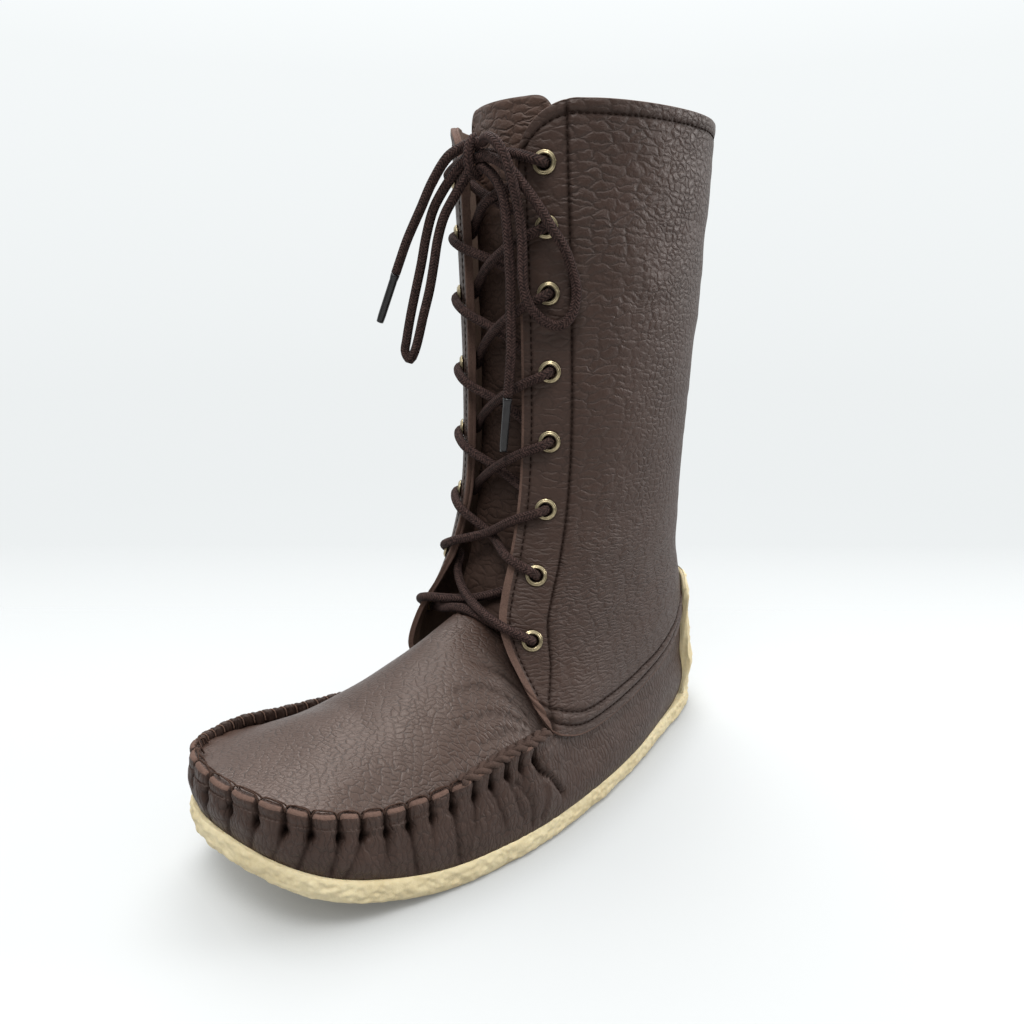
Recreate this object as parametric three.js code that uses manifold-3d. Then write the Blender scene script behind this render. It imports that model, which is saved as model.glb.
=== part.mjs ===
// A tall lace-up moccasin boot for the left foot, with a crepe sole turned up round the heel.
// Millimetres, +Z up, toe towards -Y, outer side of the foot towards +X.
import * as THREE from 'three';
import { mergeVertices } from 'three/addons/utils/BufferGeometryUtils.js';
import Module from 'manifold-3d';

// Driving dimensions
const LENGTH = 285;
const COLLAR_HEIGHT = 303.5;
const COLLAR_DIP = 2.5;
const LEATHER = 2;
const FACING = 1.4;
const GAP = 0.3;
const SOLE_THICKNESS = 10;
const TOE_SPRING = 26;
const SPRING_START = 0.7 * LENGTH;
const SPRING_POWER = 2;
const INSOLE_THICKNESS = 3;

// Sole outline. Each row: share of the length from the heel, outer and inner edge from the throat plane.
const SOLE_ROWS = [
  { at: 0.035, lateral: 24, medial: -17 },
  { at: 0.10, lateral: 32.5, medial: -28 },
  { at: 0.20, lateral: 40.5, medial: -31.5 },
  { at: 0.32, lateral: 50, medial: -30.5 },
  { at: 0.45, lateral: 57, medial: -32 },
  { at: 0.60, lateral: 60.5, medial: -39.5 },
  { at: 0.72, lateral: 57.5, medial: -47 },
  { at: 0.83, lateral: 50.3, medial: -48.5 },
  { at: 0.92, lateral: 40.7, medial: -43.5 },
  { at: 0.97, lateral: 25, medial: -34 },
];
const HEEL_TIP_X = 3.4;
const TOE_TIP_X = -7;
const OUTLINE_STEPS = 400;
const OUTLINE_REACH = 1.5;

// Ledge of sole outside the leather, along the foot from the heel.
const LEDGE_ROWS = [
  { s: 0, ledge: 6.5 },
  { s: 60, ledge: 1.5 },
  { s: 150, ledge: 0.7 },
  { s: 205, ledge: 1.4 },
  { s: LENGTH, ledge: 2.4 },
];

// Moccasin seam: height of its outer edge on each side, and how far it stands in from the sole outline.
const SEAM_ROWS = [
  { s: 140, lateral: 45, medial: 42, inset: 5 },
  { s: 180, lateral: 43.5, medial: 41, inset: 6 },
  { s: 205, lateral: 39.5, medial: 39.5, inset: 6 },
  { s: 235, lateral: 37.5, medial: 42, inset: 6 },
  { s: 258, lateral: 42.5, medial: 47, inset: 5 },
  { s: LENGTH, lateral: 51.5, medial: 51.5, inset: 4 },
];
const WALL_BULGE = 2.5;
const REAR_BULGE = 2;
const RIDGE_HEIGHT = 3.6;
const RIDGE_OUT = 1.8;
const RIDGE_FADE = { from: 150, to: 168 };

// Crest of the plug along its spine.
const CREST_ROWS = [
  { s: 163, x: 2, z: 87.8 },
  { s: 178, x: 4, z: 83.5 },
  { s: 196, x: 5, z: 75.5 },
  { s: 208, x: 5, z: 70 },
  { s: 224, x: 4, z: 63 },
];
const POLE_SEAM = 236;
const PLUG_SHOULDER = { lateral: 2, medial: 1.5 };

// Level sections of ankle and shaft. mid: x of the back point. back: how far forward the back is.
// side: where the section is widest, with its half widths and outer splay.
// edge, gap: front edge of the flap along the foot and from the throat plane. turn: its turn inward, degrees.
// lead: how much further forward the inner flap's edge stands.
const LEVEL_ROWS = [
  {
    z: 38, mid: 3.4, back: 8, side: 95, lateral: 46, medial: 29.5, splay: 0.16,
    edge: 158, lead: 6, gap: 54, turn: -5,
  },
  {
    z: 49, mid: 3, back: 9.5, side: 94, lateral: 45, medial: 29.5, splay: 0.12,
    edge: 157, lead: 8, gap: 48.5, turn: 15,
  },
  {
    z: 58, mid: 2.6, back: 11.5, side: 93, lateral: 44, medial: 30, splay: 0.08,
    edge: 157, lead: 9, gap: 40, turn: 35,
  },
  {
    z: 68, mid: 2.2, back: 14, side: 92, lateral: 43, medial: 32, splay: 0.04,
    edge: 157, lead: 9, gap: 32.5, turn: 45,
  },
  {
    z: 78, mid: 1.6, back: 17, side: 91, lateral: 42, medial: 34.5, splay: 0,
    edge: 157, lead: 6, gap: 26.5, turn: 55,
  },
  {
    z: 88, mid: 1, back: 20, side: 90, lateral: 41.5, medial: 37, splay: 0,
    edge: 155.5, lead: 3.5, gap: 22, turn: 65,
  },
  {
    z: 98, mid: 0.6, back: 22.5, side: 89, lateral: 41, medial: 39, splay: 0,
    edge: 151, lead: 2, gap: 19.5, turn: 72,
  },
  {
    z: 112, mid: 0, back: 24.5, side: 88, lateral: 40.8, medial: 40.5, splay: 0,
    edge: 145, lead: 1.5, gap: 18, turn: 78,
  },
  {
    z: 138, mid: 0, back: 25.5, side: 86.5, lateral: 41.5, medial: 41.5, splay: 0,
    edge: 138.5, lead: 1.5, gap: 16.5, turn: 80,
  },
  {
    z: 168, mid: 0, back: 25, side: 85, lateral: 43, medial: 43, splay: 0,
    edge: 136, lead: 2, gap: 16, turn: 80,
  },
  {
    z: 220, mid: 0, back: 23, side: 83, lateral: 46.2, medial: 46.2, splay: 0,
    edge: 137, lead: 1, gap: 16, turn: 80,
  },
  {
    z: 303, mid: 0, back: 21, side: 81, lateral: 50.3, medial: 50.3, splay: 0,
    edge: 142, lead: 0, gap: 16, turn: 80,
  },
];
const SECTION_EASE = { rear: 0.58, side: 0.4, front: 0.33 };
const INSTEP_NARROWING = { by: 15, from: 45, to: 85 };
const THROAT_CROWN = 3;

// Lower edge of the shaft, lapped over the upper, along the foot.
const LAP_ROWS = [
  { s: 5, z: 78 },
  { s: 18, z: 70 },
  { s: 28, z: 62 },
  { s: 42, z: 51 },
  { s: 62, z: 43.5 },
  { s: 93, z: 41 },
  { s: 135, z: 42 },
  { s: 158, z: 46 },
];
const LAP_OVERLAP = 8;
const LAP_GAP = 0.45;
const UPPER_CUT_DEPTH = 6;
const FLAP_CORNER = 25;
const EYESTAY_WIDTH = 30;
const EYESTAY_FADE = 3;
const EYESTAY_FOOT = { from: 95, to: 112 };

// Heel guard: stands on the sole; reach along the outline on each side, thickness and height.
const GUARD_REACH = 36;
const GUARD_THICKNESS = 4.9;
const GUARD_TOP = 82;
const GUARD_CORNER = 14;
const GUARD_FOOT = SOLE_THICKNESS + GAP;
const GUARD_FOOT_INSET = 1.8;
const GUARD_BLEND = 34;
const GUARD_CLEARANCE = 1.1;
const GUARD_TAPER = 0.25;
const GUARD_STEP = { from: 46, to: 58 };
const GUARD_COLUMNS = [1, 0.86, 0.7, 0.52, 0.34, 0.17, 0, -0.17, -0.34, -0.52, -0.7, -0.86, -1];
const GUARD_ROWS = [0, 0.1, 0.25, 0.38, 0.5, 0.62, 0.75, 0.88, 1];

// Edge of the sole: inset from the outline at shares of the thickness.
const SOLE_EDGE = [
  { up: 0, inset: 2.2 },
  { up: 0.16, inset: 0.5 },
  { up: 0.42, inset: 0 },
  { up: 0.6, inset: 0.5 },
  { up: 0.8, inset: 0.1 },
  { up: 1, inset: 1 },
];
const SOLE_STEPS = 32;
const INSOLE_CLEARANCE = 0.8;

// Tongue: depth below the throat's skin, rows up the throat, half widths and rim.
const TONGUE_DEPTH = 6;
const TONGUE_ROOT = [178, 169, 160];
const TONGUE_ROOT_LIFT = 0;
const TONGUE_HEIGHTS = [99, 104, 111, 119, 130, 144, 162, 187, 215, 245, 270, 288];
const TONGUE_COLUMNS = [-1, -0.72, -0.45, -0.22, 0, 0.22, 0.45, 0.72, 1];
const TONGUE_HALF = { root: 17, top: 24, from: 99, to: 150 };
const TONGUE_RISE = 2;
const TONGUE_CORNER = 10;

// Eyelets, numbered from the top.
const EYELET_HEIGHTS = [279, 255, 229, 197, 167, 137, 108, 81];
const EYELET_FROM_EDGE = 11.5;
const EYELET_SIDES = 8;
const EYELET_HOLE = 3.6;
const EYELET_CUT = 16;
const EYELET_PROFILE = [
  { r: 2.5, h: -3.3 },
  { r: 3.1, h: -3.3 },
  { r: 3.1, h: 0.6 },
  { r: 4.75, h: 0.6 },
  { r: 4, h: 1.45 },
  { r: 2.6, h: 1.15 },
];

// Lace: crossings from the toe up, with the eyelet rows they join, where their strands end outside
// the flaps, and the side on which the upper strand of the two starts.
const LACE_RADIUS = 2.1;
const LACE_SIDES = 8;
const LACE_STEP = 10;
const CROSSINGS = [
  { low: 8, high: 7, lowOut: true, highOut: false, over: 'lateral' },
  { low: 7, high: 6, lowOut: true, highOut: true, over: 'medial' },
  { low: 6, high: 5, lowOut: false, highOut: true, over: 'medial' },
  { low: 5, high: 4, lowOut: false, highOut: true, over: 'medial' },
  { low: 4, high: 3, lowOut: false, highOut: true, over: 'medial' },
  { low: 3, high: 2, lowOut: false, highOut: true, over: 'medial' },
  { low: 2, high: 1, lowOut: false, highOut: false, over: 'medial' },
];
const EDGE_CROSSED_AT = 0.21;
const EDGE_CLEARANCE = 1.8;
const EDGE_DEPTH = 1.2;
const EDGE_LIFT = 1.6;
const EYELET_LIFT = 1.1;
const CROSSING_LIFT = { under: -3, over: 0.5 };
const TOP_BAR = { z: 283, lift: 0 };
const BOTTOM_BAR = [[-11, 160.8, 87], [-5, 160.6, 88.8], [0, 160.3, 89.6], [8, 159.2, 88.8], [18, 156, 85.5]];
const KNOT = { x: 0.5, s: 150.6, z: 284, half: [5.5, 3.6, 4.6], around: 10, rings: 7 };

// Routes of the bow: x, distance from the heel and height.
const BOW_ROUTES = {
  lace_loop_right: [
    [6.2, 151.4, 287.8], [11, 153.5, 288.5], [17.5, 155, 286], [22, 154, 280], [24, 152, 271],
    [24.5, 148.5, 258.5], [25, 147.4, 245.5], [25.8, 147.6, 232], [27, 144.2, 223], [30.5, 137.8, 217],
    [34.5, 133.4, 216.3], [37.5, 130.6, 221], [38.7, 129.6, 229.5], [38.3, 132, 238], [37.5, 136.3, 246.5],
    [35.3, 141, 253.5], [31.4, 143.4, 260.5], [25.7, 146.5, 269], [20, 150.2, 276.5], [13.5, 151, 280.2],
    [6.8, 150.4, 282.4],
  ],
  lace_loop_left: [
    [-5.7, 150.8, 282.3], [-9.5, 152.2, 278.8], [-16, 154, 272], [-22.1, 155.3, 264], [-26.1, 156.3, 253.5],
    [-29.2, 157.1, 241.7], [-32.4, 158, 231], [-35.6, 158.8, 220.3], [-38.4, 159.5, 209.2],
    [-39.4, 159.8, 203.6], [-36.6, 159.2, 200.2], [-33.6, 158.4, 204.6], [-28.3, 157.1, 220.3],
    [-24.7, 156.2, 231], [-22.2, 155.5, 241.4], [-19.9, 154.9, 251.7], [-16.3, 154, 261],
    [-10.9, 152.6, 268.6], [-4.3, 150.6, 277],
  ],
  lace_end_right: [
    [4.4, 149.8, 278.8], [9, 149.3, 275.5], [13, 149, 271], [16.2, 149.3, 265], [18.2, 149.6, 255.5],
    [18.5, 148.6, 244], [18.8, 148, 232], [18.5, 147.7, 222], [18.5, 147.4, 210], [17.9, 147.2, 200],
    [16.3, 147.2, 186.3],
  ],
  lace_end_left: [
    [-5.6, 152.6, 287], [-10.5, 155.8, 283.8], [-19.2, 157.8, 274.5], [-25.3, 159.5, 264.5],
    [-33.4, 161.3, 252], [-38.2, 162.4, 242.7], [-40.5, 162.9, 238.2],
  ],
  lace_tip_right: [[16.25, 147.2, 185.9], [12.7, 146.4, 162.5]],
  lace_tip_left: [[-40.7, 162.95, 237.8], [-51, 165.2, 217]],
};

const BROWN_LEATHER = { color: 0x4a3a34, roughness: 0.55 };
const CREPE = { color: 0xdccda5, roughness: 0.85 };
const LINING = { color: 0x6b5446, roughness: 0.8 };
const BRASS = { color: 0x8f7f55, roughness: 0.35, metalness: 1 };
const BROWN_CORD = { color: 0x3e2d2a, roughness: 0.9 };
const LACE_TIP = { color: 0x3a3d3e, roughness: 0.3 };

const SIDES = { lateral: 1, medial: -1 };

// Smooth value of one column of a table at a place along another.
function lookup(table, by, key, at) {
  const last = table.length - 1;
  const place = THREE.MathUtils.clamp(at, table[0][by], table[last][by]);
  let i = 0;
  while (i < last - 1 && place > table[i + 1][by]) i += 1;
  const slope = (j) => {
    const before = table[Math.max(j - 1, 0)];
    const after = table[Math.min(j + 1, last)];
    return (after[key] - before[key]) / (after[by] - before[by]);
  };
  const span = table[i + 1][by] - table[i][by];
  return hermite(table[i][key], table[i + 1][key], slope(i) * span, slope(i + 1) * span,
    (place - table[i][by]) / span);
}

function hermite(start, end, startSlope, endSlope, u) {
  const rise = u * u * (3 - 2 * u);
  return start + (end - start) * rise
    + startSlope * u * (1 - u) * (1 - u) - endSlope * u * u * (1 - u);
}

const mix = THREE.MathUtils.lerp;
const ease = THREE.MathUtils.smoothstep;

// Points of the boot are given by x, the distance s from the heel towards the toe, and z.
function point(x, s, z) {
  return new THREE.Vector3(x, -s, z);
}

// Sole outline as two chains from heel tip to toe tip, read by length along them.
function outlineChains() {
  const rows = SOLE_ROWS.map((row) => ({ s: row.at * LENGTH, ...row }));
  const lateral = rows.map((row) => point(row.lateral, row.s, 0));
  const medial = rows.map((row) => point(row.medial, row.s, 0)).reverse();
  const ring = [point(HEEL_TIP_X, 0, 0), ...lateral, point(TOE_TIP_X, LENGTH, 0), ...medial];
  const curve = new THREE.CatmullRomCurve3(ring, true, 'centripetal');
  const all = Array.from({ length: OUTLINE_STEPS }, (_, i) => curve.getPoint(i / OUTLINE_STEPS));
  const toe = Math.round(OUTLINE_STEPS * (rows.length + 1) / ring.length);
  return {
    lateral: chain(all.slice(0, toe + 1)),
    medial: chain([all[0], ...all.slice(toe).reverse()]),
  };
}

function chain(points) {
  const lengths = [0];
  for (let i = 1; i < points.length; i += 1) {
    lengths.push(lengths[i - 1] + points[i].distanceTo(points[i - 1]));
  }
  return { points, lengths, total: lengths[lengths.length - 1] };
}

function chainPoint(line, length) {
  const place = THREE.MathUtils.clamp(length, 0, line.total);
  let i = 1;
  while (i < line.lengths.length - 1 && line.lengths[i] < place) i += 1;
  const u = (place - line.lengths[i - 1]) / (line.lengths[i] - line.lengths[i - 1]);
  return line.points[i - 1].clone().lerp(line.points[i], u);
}

function lengthAt(line, s) {
  let i = 1;
  while (i < line.points.length - 1 && -line.points[i].y < s) i += 1;
  const low = -line.points[i - 1].y;
  const high = -line.points[i].y;
  return mix(line.lengths[i - 1], line.lengths[i], (s - low) / (high - low));
}

const OUTLINE = outlineChains();

// Place on the outline with its outward direction.
function outlineAt(side, length) {
  const line = OUTLINE[side];
  const here = chainPoint(line, length);
  const other = OUTLINE[side === 'lateral' ? 'medial' : 'lateral'];
  const step = OUTLINE_REACH;
  const ahead = length + step > line.total
    ? chainPoint(other, 2 * line.total - length - step)
    : chainPoint(line, length + step);
  const behind = length < step ? chainPoint(other, step - length) : chainPoint(line, length - step);
  const along = ahead.sub(behind).normalize();
  const out = new THREE.Vector3(-along.y, along.x, 0).multiplyScalar(SIDES[side]);
  return { here, out, s: -here.y };
}

function soleBottom(s) {
  const lifted = Math.max(0, (s - SPRING_START) / (LENGTH - SPRING_START));
  return TOE_SPRING * lifted ** SPRING_POWER;
}

function soleTop(s) {
  return soleBottom(s) + SOLE_THICKNESS;
}

// One level section on one side, from the back to the flap's front edge.
function levelPath(side, z) {
  const value = (key) => lookup(LEVEL_ROWS, 'z', key, z);
  const sign = SIDES[side];
  const back = new THREE.Vector2(value('mid'), value('back'));
  const wide = new THREE.Vector2(sign * value(side), value('side'));
  const front = new THREE.Vector2(frontX(side, z), value('edge') + (side === 'medial' ? value('lead') : 0));
  const splay = side === 'lateral' ? value('splay') : 0;
  const turn = THREE.MathUtils.degToRad(value('turn'));
  const { rear, side: sideEase, front: frontEase } = SECTION_EASE;
  const heel = new THREE.CubicBezierCurve(
    back,
    new THREE.Vector2(mix(back.x, wide.x, rear), back.y),
    new THREE.Vector2(wide.x - sign * splay * (wide.y - back.y) * rear, mix(wide.y, back.y, rear)),
    wide,
  );
  const reach = wide.distanceTo(front);
  const fore = new THREE.CubicBezierCurve(
    wide,
    new THREE.Vector2(wide.x + sign * splay * reach * sideEase, wide.y + reach * sideEase),
    new THREE.Vector2(
      front.x + sign * Math.sin(turn) * reach * frontEase,
      front.y - Math.cos(turn) * reach * frontEase,
    ),
    front,
  );
  const path = new THREE.CurvePath();
  path.add(heel);
  path.add(fore);
  return path;
}

// The inner side of the foot is narrower under the instep, so the flap edge moves in with it there.
function frontX(side, z) {
  const gap = lookup(LEVEL_ROWS, 'z', 'gap', z);
  if (side === 'lateral') return gap;
  const narrowing = INSTEP_NARROWING.by * (1 - ease(z, INSTEP_NARROWING.from, INSTEP_NARROWING.to));
  return -(gap - narrowing);
}

const LEVEL_CACHE = new Map();

function levelPathAt(side, z) {
  const key = `${side} ${z.toFixed(3)}`;
  if (!LEVEL_CACHE.has(key)) LEVEL_CACHE.set(key, levelPath(side, z));
  return LEVEL_CACHE.get(key);
}

function skinPoint(side, share, z) {
  const flat = levelPathAt(side, z).getPoint(share);
  return point(flat.x, flat.y, z);
}

function skinNormal(side, share, z) {
  const here = skinPoint(side, share, z);
  const along = skinPoint(side, share - 0.01, z).sub(here).multiplyScalar(SIDES[side]);
  const up = skinPoint(side, share, z + 1).sub(here);
  return along.cross(up).normalize();
}

// Indexed mesh from points and triangles.
function meshOf(points, triangles) {
  const geometry = new THREE.BufferGeometry();
  geometry.setAttribute('position', new THREE.Float32BufferAttribute(points.flatMap((p) => p.toArray()), 3));
  geometry.setIndex(triangles);
  return geometry;
}

// Closed wall between two sheets that share one set of triangles.
function wallBetween(outer, inner, triangles) {
  const count = outer.length;
  const faces = [...triangles];
  for (let i = 0; i < triangles.length; i += 3) {
    faces.push(triangles[i] + count, triangles[i + 2] + count, triangles[i + 1] + count);
  }
  const open = new Map();
  for (let i = 0; i < triangles.length; i += 3) {
    for (let k = 0; k < 3; k += 1) {
      const a = triangles[i + k];
      const b = triangles[i + (k + 1) % 3];
      if (!open.delete(`${b} ${a}`)) open.set(`${a} ${b}`, [a, b]);
    }
  }
  for (const [a, b] of open.values()) {
    faces.push(b, a, a + count, b, a + count, b + count);
  }
  return meshOf([...outer, ...inner], faces);
}

function sheetNormals(points, triangles) {
  const sheet = meshOf(points, triangles);
  sheet.computeVertexNormals();
  const normals = sheet.attributes.normal;
  return points.map((_, i) => new THREE.Vector3().fromBufferAttribute(normals, i));
}

function offsetAll(points, normals, distance) {
  return points.map((p, i) => p.clone().addScaledVector(normals[i], distance));
}

// Two triangles for each cell of a grid of columns and rows.
function gridTriangles(columns, rows, index) {
  const triangles = [];
  for (let c = 0; c + 1 < columns; c += 1) {
    for (let r = 0; r + 1 < rows; r += 1) {
      const [a, b, d, e] = [index(c, r), index(c + 1, r), index(c + 1, r + 1), index(c, r + 1)];
      if (a !== b && b !== d && a !== d) triangles.push(a, b, d);
      if (a !== d && d !== e && a !== e) triangles.push(a, d, e);
    }
  }
  return triangles;
}

const wasm = await Module();
wasm.setup();

function toSolid(geometry) {
  const bare = geometry.clone();
  bare.deleteAttribute('normal');
  bare.deleteAttribute('uv');
  const merged = mergeVertices(bare, 1e-4);
  return new wasm.Manifold(new wasm.Mesh({
    numProp: 3,
    vertProperties: new Float32Array(merged.attributes.position.array),
    triVerts: new Uint32Array(merged.index.array),
  }));
}

function toGeometry(solid) {
  const mesh = solid.getMesh();
  const geometry = new THREE.BufferGeometry();
  geometry.setAttribute('position', new THREE.BufferAttribute(mesh.vertProperties, 3));
  geometry.setIndex(new THREE.BufferAttribute(mesh.triVerts, 1));
  return geometry;
}

// Shares of the way from the back of the heel to the flap's front edge, used by upper and shaft alike.
const REAR_SHARES = [
  0, 0.08, 0.16, 0.24, 0.31, 0.38, 0.45, 0.52, 0.59, 0.66, 0.73, 0.8, 0.865, 0.915, 0.955, 0.985, 1,
];
const PLUG_BACK_SHARE = 0.915;
const PLUG_RIBS = 8;
const FIRST_PLUG_RIB = REAR_SHARES.indexOf(PLUG_BACK_SHARE);
const SPINE_STEPS = REAR_SHARES.length - FIRST_PLUG_RIB + PLUG_RIBS - 1;
const TOE_RIBS = 7;
const WALL_SHARES = [0, 0.22, 0.5, 0.76, 0.9, 1];
const PLUG_SHARES = [0.05, 0.14, 0.34, 0.64];

function rearLength(side) {
  return lengthAt(OUTLINE[side], LEVEL_ROWS[0].edge);
}

function lapHeight(s) {
  return lookup(LAP_ROWS, 's', 'z', s);
}

function wallFoot(side, length) {
  const { here, out, s } = outlineAt(side, length);
  const foot = here.clone().addScaledVector(out, -lookup(LEDGE_ROWS, 's', 'ledge', s));
  foot.z = soleTop(s) + GAP;
  return foot;
}

function seamHeight(side, s) {
  return lookup(SEAM_ROWS, 's', side, s);
}

// Outer face of the upper behind the flap's front edge, at any height up to the collar.
function rearPoint(side, share, z) {
  const start = LEVEL_ROWS[0].z;
  if (z >= start) return skinPoint(side, share, z);
  const length = share * rearLength(side);
  const foot = wallFoot(side, length);
  const top = skinPoint(side, share, start);
  const u = (z - foot.z) / (start - foot.z);
  const placed = foot.clone().lerp(top, ease(u, 0, 1));
  placed.addScaledVector(outlineAt(side, length).out, REAR_BULGE * 4 * u * (1 - u));
  placed.z = z;
  return placed;
}

// Outer face of the moccasin wall in front of the flap, from the sole to the seam.
function forePoint(side, length, u) {
  const { here, out, s } = outlineAt(side, length);
  const foot = wallFoot(side, length);
  const seam = here.clone().addScaledVector(out, -lookup(SEAM_ROWS, 's', 'inset', s));
  seam.z = seamHeight(side, s);
  return foot.lerp(seam, u).addScaledVector(out, WALL_BULGE * 4 * u * (1 - u));
}

// Ribs of the upper run from the sole up to the seam or rim, and over the plug to its spine.
function ribList(side) {
  const line = OUTLINE[side];
  const rear = REAR_SHARES.map((share) => ({ side, share, length: share * rearLength(side) }));
  const places = [];
  for (let i = 1; i <= PLUG_RIBS; i += 1) {
    places.push(lengthAt(line, mix(LEVEL_ROWS[0].edge, POLE_SEAM, i / PLUG_RIBS)));
  }
  const pole = places[PLUG_RIBS - 1];
  for (let i = 1; i <= TOE_RIBS; i += 1) places.push(mix(pole, line.total, i / TOE_RIBS));
  const ribs = [...rear, ...places.map((length) => ({ side, share: null, length }))];
  return ribs.map((rib, i) => ({ ...rib, spine: Math.min(i - FIRST_PLUG_RIB, SPINE_STEPS) }));
}

function spinePoint(step) {
  const s = mix(CREST_ROWS[0].s, CREST_ROWS[CREST_ROWS.length - 1].s, step / SPINE_STEPS);
  return point(lookup(CREST_ROWS, 's', 'x', s), s, lookup(CREST_ROWS, 's', 'z', s));
}

function crestSlope(s) {
  const step = 2;
  return (lookup(CREST_ROWS, 's', 'z', s + step) - lookup(CREST_ROWS, 's', 'z', s - step)) / (2 * step);
}

function wallPoint(rib, u) {
  if (rib.share === null) return forePoint(rib.side, rib.length, u);
  const foot = wallFoot(rib.side, rib.length);
  const s = -foot.y;
  const top = rib.spine < 0 ? lapHeight(s) + LAP_OVERLAP : seamHeight(rib.side, s);
  return rearPoint(rib.side, rib.share, mix(foot.z, top, u));
}

function plugPoint(rib, u) {
  const seam = wallPoint(rib, 1);
  const spine = spinePoint(rib.spine);
  const placed = seam.clone().lerp(spine, u);
  const across = Math.abs(spine.x - seam.x) / Math.hypot(spine.x - seam.x, spine.y - seam.y);
  const rise = spine.z - seam.z;
  const endSlope = crestSlope(-spine.y) * (seam.y - spine.y);
  placed.z = hermite(seam.z, spine.z, PLUG_SHOULDER[rib.side] * rise * across * across, endSlope, u);
  return placed;
}

// Height of the plug on a line straight across the foot.
function plugHeight(x, s) {
  const spineX = lookup(CREST_ROWS, 's', 'x', s);
  const crest = lookup(CREST_ROWS, 's', 'z', s);
  const side = x < spineX ? 'medial' : 'lateral';
  const edge = forePoint(side, lengthAt(OUTLINE[side], s), 1);
  const rise = crest - edge.z;
  return hermite(edge.z, crest, PLUG_SHOULDER[side] * rise, 0, (x - edge.x) / (spineX - edge.x));
}

// Raised seam: how far the skin stands out sideways and up at each row near the seam.
const RIDGE_SHAPE = [
  { row: WALL_SHARES.length - 2, out: 1, up: 0 },
  { row: WALL_SHARES.length - 1, out: 0.7, up: 1 },
  { row: WALL_SHARES.length, out: 0, up: 0.8 },
];

function ridgeOffset(rib, row) {
  const shape = RIDGE_SHAPE.find((entry) => entry.row === row);
  if (!shape || rib.spine < 0) return new THREE.Vector3();
  const { out, s } = outlineAt(rib.side, rib.length);
  const fade = ease(s, RIDGE_FADE.from, RIDGE_FADE.to);
  return out.multiplyScalar(shape.out * RIDGE_OUT * fade).setZ(shape.up * RIDGE_HEIGHT * fade);
}

// Wall of the upper between two distances from its skin.
function upperWall(outside, inside) {
  const ring = [...ribList('medial'), ...ribList('lateral').slice(1, -1).reverse()];
  const skin = [];
  const ridge = [];
  const columns = ring.map((rib) => {
    const column = [];
    WALL_SHARES.forEach((u, row) => {
      column.push(skin.push(wallPoint(rib, u)) - 1);
      ridge.push(ridgeOffset(rib, row));
    });
    if (rib.spine < 0) return column;
    PLUG_SHARES.forEach((u, row) => {
      column.push(skin.push(plugPoint(rib, u)) - 1);
      ridge.push(ridgeOffset(rib, WALL_SHARES.length + row));
    });
    return column;
  });
  const spine = [];
  for (let step = 0; step <= SPINE_STEPS; step += 1) {
    spine.push(skin.push(spinePoint(step)) - 1);
    ridge.push(new THREE.Vector3());
  }
  columns.forEach((column, i) => {
    if (ring[i].spine >= 0) column.push(spine[ring[i].spine]);
  });
  const triangles = [];
  columns.forEach((column, i) => {
    const next = columns[(i + 1) % columns.length];
    const rows = Math.min(column.length, next.length);
    const index = (c, r) => (c === 0 ? column : next)[r];
    triangles.push(...gridTriangles(2, rows, index));
  });
  const normals = sheetNormals(skin, triangles);
  const outer = offsetAll(skin, normals, outside).map((p, i) => p.add(ridge[i]));
  const inner = offsetAll(skin, normals, inside);
  columns.forEach((column) => {
    inner[column[0]].z = skin[column[0]].z;
    outer[column[0]].z = skin[column[0]].z;
  });
  return wallBetween(outer, inner, triangles);
}

// Shaft: from the lapped edge to the collar, open in front, with rounded top corners.
const SHAFT_ROWS = [0, 0.02, 0.05, 0.11, 0.19, 0.27, 0.36, 0.46, 0.56, 0.67, 0.78, 0.88, 0.95, 1];

function collarHeight(side, share) {
  const inCorner = Math.max(0, FLAP_CORNER - fromEdge(side, share, COLLAR_HEIGHT));
  const corner = FLAP_CORNER - Math.sqrt(FLAP_CORNER ** 2 - inCorner ** 2);
  return COLLAR_HEIGHT - COLLAR_DIP * share * share - corner;
}

function fromEdge(side, share, z) {
  return (1 - share) * levelPathAt(side, z).getLength();
}

function shaftWall() {
  const shares = [...REAR_SHARES.slice(1)].reverse().map((share) => ['lateral', share]);
  shares.push(...REAR_SHARES.map((share) => ['medial', share]));
  const skin = [];
  const facing = [];
  shares.forEach(([side, share]) => {
    const low = lapHeight(-skinPoint(side, share, LEVEL_ROWS[1].z).y);
    const high = collarHeight(side, share);
    SHAFT_ROWS.forEach((u) => {
      const z = mix(low, high, u);
      skin.push(skinPoint(side, share, z));
      const reach = fromEdge(side, share, z);
      const inEyestay = 1 - ease(reach, EYESTAY_WIDTH - EYESTAY_FADE, EYESTAY_WIDTH + EYESTAY_FADE);
      facing.push(FACING * inEyestay * ease(z, EYESTAY_FOOT.from, EYESTAY_FOOT.to));
    });
  });
  const triangles = gridTriangles(shares.length, SHAFT_ROWS.length, (c, r) => c * SHAFT_ROWS.length + r);
  const normals = sheetNormals(skin, triangles);
  const outer = offsetAll(skin, normals, LAP_GAP + LEATHER);
  const inner = skin.map((p, i) => p.clone().addScaledVector(normals[i], LAP_GAP - facing[i]));
  return wallBetween(outer, inner, triangles);
}

// Tongue: from under the plug, up the throat and a little above the collar.
function tongueHalf(z) {
  return mix(TONGUE_HALF.root, TONGUE_HALF.top, ease(z, TONGUE_HALF.from, TONGUE_HALF.to));
}

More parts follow.
